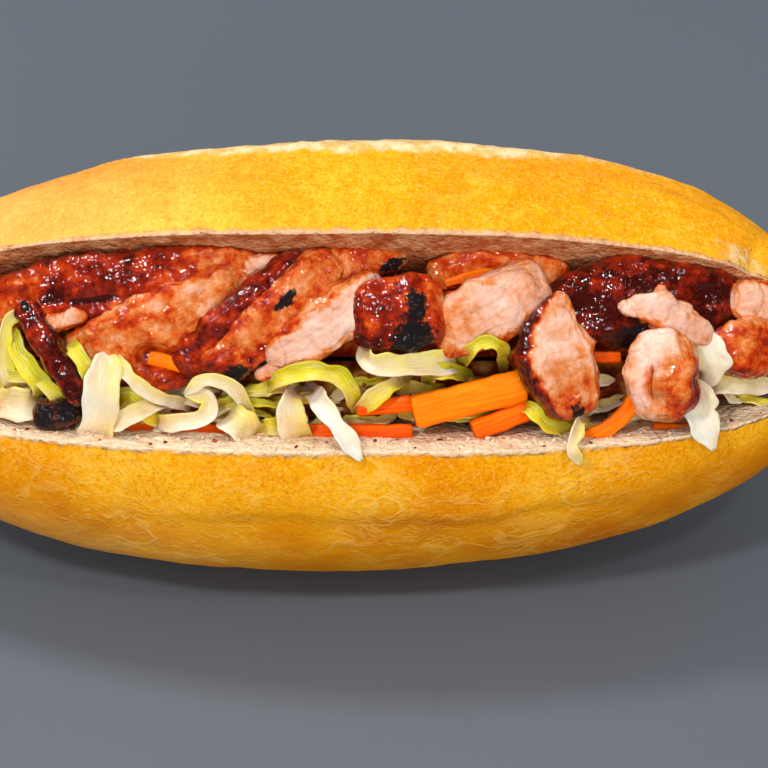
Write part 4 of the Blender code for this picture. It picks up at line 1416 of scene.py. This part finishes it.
def make_crumbs(bread, chicken):
    """Crumbs of bread, and fewer bits of glaze and char, on the crumb just inside the lower lip."""
    base = crumb_shelf()
    tree = crumbs_tree()
    crumbs = grown(base, tree, {"Material": bread}, "bread_crumbs")
    sparse = {"Material": chicken, "Crumbs per square metre": 26000.0, "Largest": 0.0005, "Seed": 9}
    bits = grown(base, tree, sparse, "glaze_and_char_bits")
    bpy.data.objects.remove(base)
    count = len(bits.data.vertices)
    draw = random.Random(4)
    add_numbers(bits.data, "tone", [0.62] * count)
    add_numbers(bits.data, "char", [draw.uniform(0.3, 0.6) for _ in range(count)])
    finish_piece(crumbs, bread)
    finish_piece(bits, chicken)


# Studio

FLOOR_SIZE = 6
FLOOR_DROP = 0.0002
LIGHT_TARGET = (0, 0, 0.04)
# The lamps: name, place, size, power, colour and whether moist surfaces mirror it
LAMPS = [
    ("key", (-0.35, 0.3, 0.9), 0.2, 4.0, (1.0, 0.98, 0.95), True),
    ("glint", (-0.4, -0.55, 0.95), 0.13, 4.6, (1, 1, 1), True),
    ("glint_right", (0.42, -0.5, 0.95), 0.1, 1.4, (1, 1, 1), True),
    ("fill", (0.2, -1.6, 0.45), 1.6, 15.0, (1, 1, 1), False),
]
SKY_COLOUR = (0.96, 0.97, 1.0, 1)
SKY_STRENGTH = 0.56


def make_floor():
    """A grey floor just under the roll, like the surface in the photograph. It is stage only."""
    bpy.ops.mesh.primitive_plane_add(size=FLOOR_SIZE, location=(0, 0, -FLOOR_DROP))
    floor = bpy.context.object
    floor.name = "floor"
    f = Finish("slate_grey_floor")
    f.set(Base_Color=f.mix(f.noise(3), srgb(92, 99, 108), srgb(96, 103, 112)), Roughness=0.75)
    floor.data.materials.append(f.material)


def add_lamp(name, place, size, power, colour, mirrored):
    """A round lamp that shines on the roll."""
    data = bpy.data.lights.new(name, "AREA")
    data.shape = "DISK"
    data.size = size
    data.energy = power
    data.color = colour
    lamp = shown(name, data)
    lamp.visible_glossy = mirrored
    lamp.location = place
    lamp.rotation_mode = "QUATERNION"
    lamp.rotation_quaternion = (Vector(LIGHT_TARGET) - Vector(place)).to_track_quat("-Z", "Y")


def make_studio():
    """A grey floor, four lamps and a plain sky that moist surfaces don't mirror."""
    make_floor()
    for lamp in LAMPS:
        add_lamp(*lamp)
    world = bpy.data.worlds.new("studio")
    bpy.context.scene.world = world
    world.use_nodes = True
    background = world.node_tree.nodes["Background"]
    background.inputs["Color"].default_value = SKY_COLOUR
    background.inputs["Strength"].default_value = SKY_STRENGTH
    world.cycles_visibility.glossy = False
    bpy.context.scene.view_settings.view_transform = "Standard"


def make_camera():
    """Looks straight into the opening, along its middle plane."""
    data = bpy.data.cameras.new("camera")
    data.sensor_width = SENSOR
    data.lens = SENSOR * CAMERA_FAR / VIEW_WIDTH
    data.clip_end = 10
    camera = shown("camera", data)
    target = (world_point(*VIEW_CENTRE, SECTION_CENTRE) + SHIFT) * MM
    back = direction((0, 0, 1))
    up = direction((0, 1, 0))
    turned = Matrix((up.cross(back), up, back)).transposed()
    camera.matrix_world = Matrix.Translation(target + back * CAMERA_FAR * MM) @ turned.to_4x4()
    bpy.context.scene.camera = camera


def build():
    make_camera()
    make_studio()
    bread = bread_finish()
    chicken = chicken_finish()
    carrot = carrot_finish()
    lettuce = lettuce_finish()
    salad_core_shade = painted_shade_salad_finish()
    make_roll(bread)
    for name in CHICKEN:
        make_meat(name, chicken)
    make_bed("chicken_behind", CHICKEN_SPAN, CHICKEN_FACE, 2.2, (0.6, 0.3),
             chicken, "chicken_bed")
    for number in range(len(CARROTS)):
        make_carrot(number, carrot)
    # The salad bed's dark finish paints the shade in the gaps between the shreds.
    make_bed("salad_bed", SALAD_SPAN, SALAD_FACE, 2.4, (0.5, 0.5), salad_core_shade, "lettuce_salad")
    make_shreds(lettuce)
    make_little_shreds(lettuce)
    make_crumbs(bread, chicken)


build()
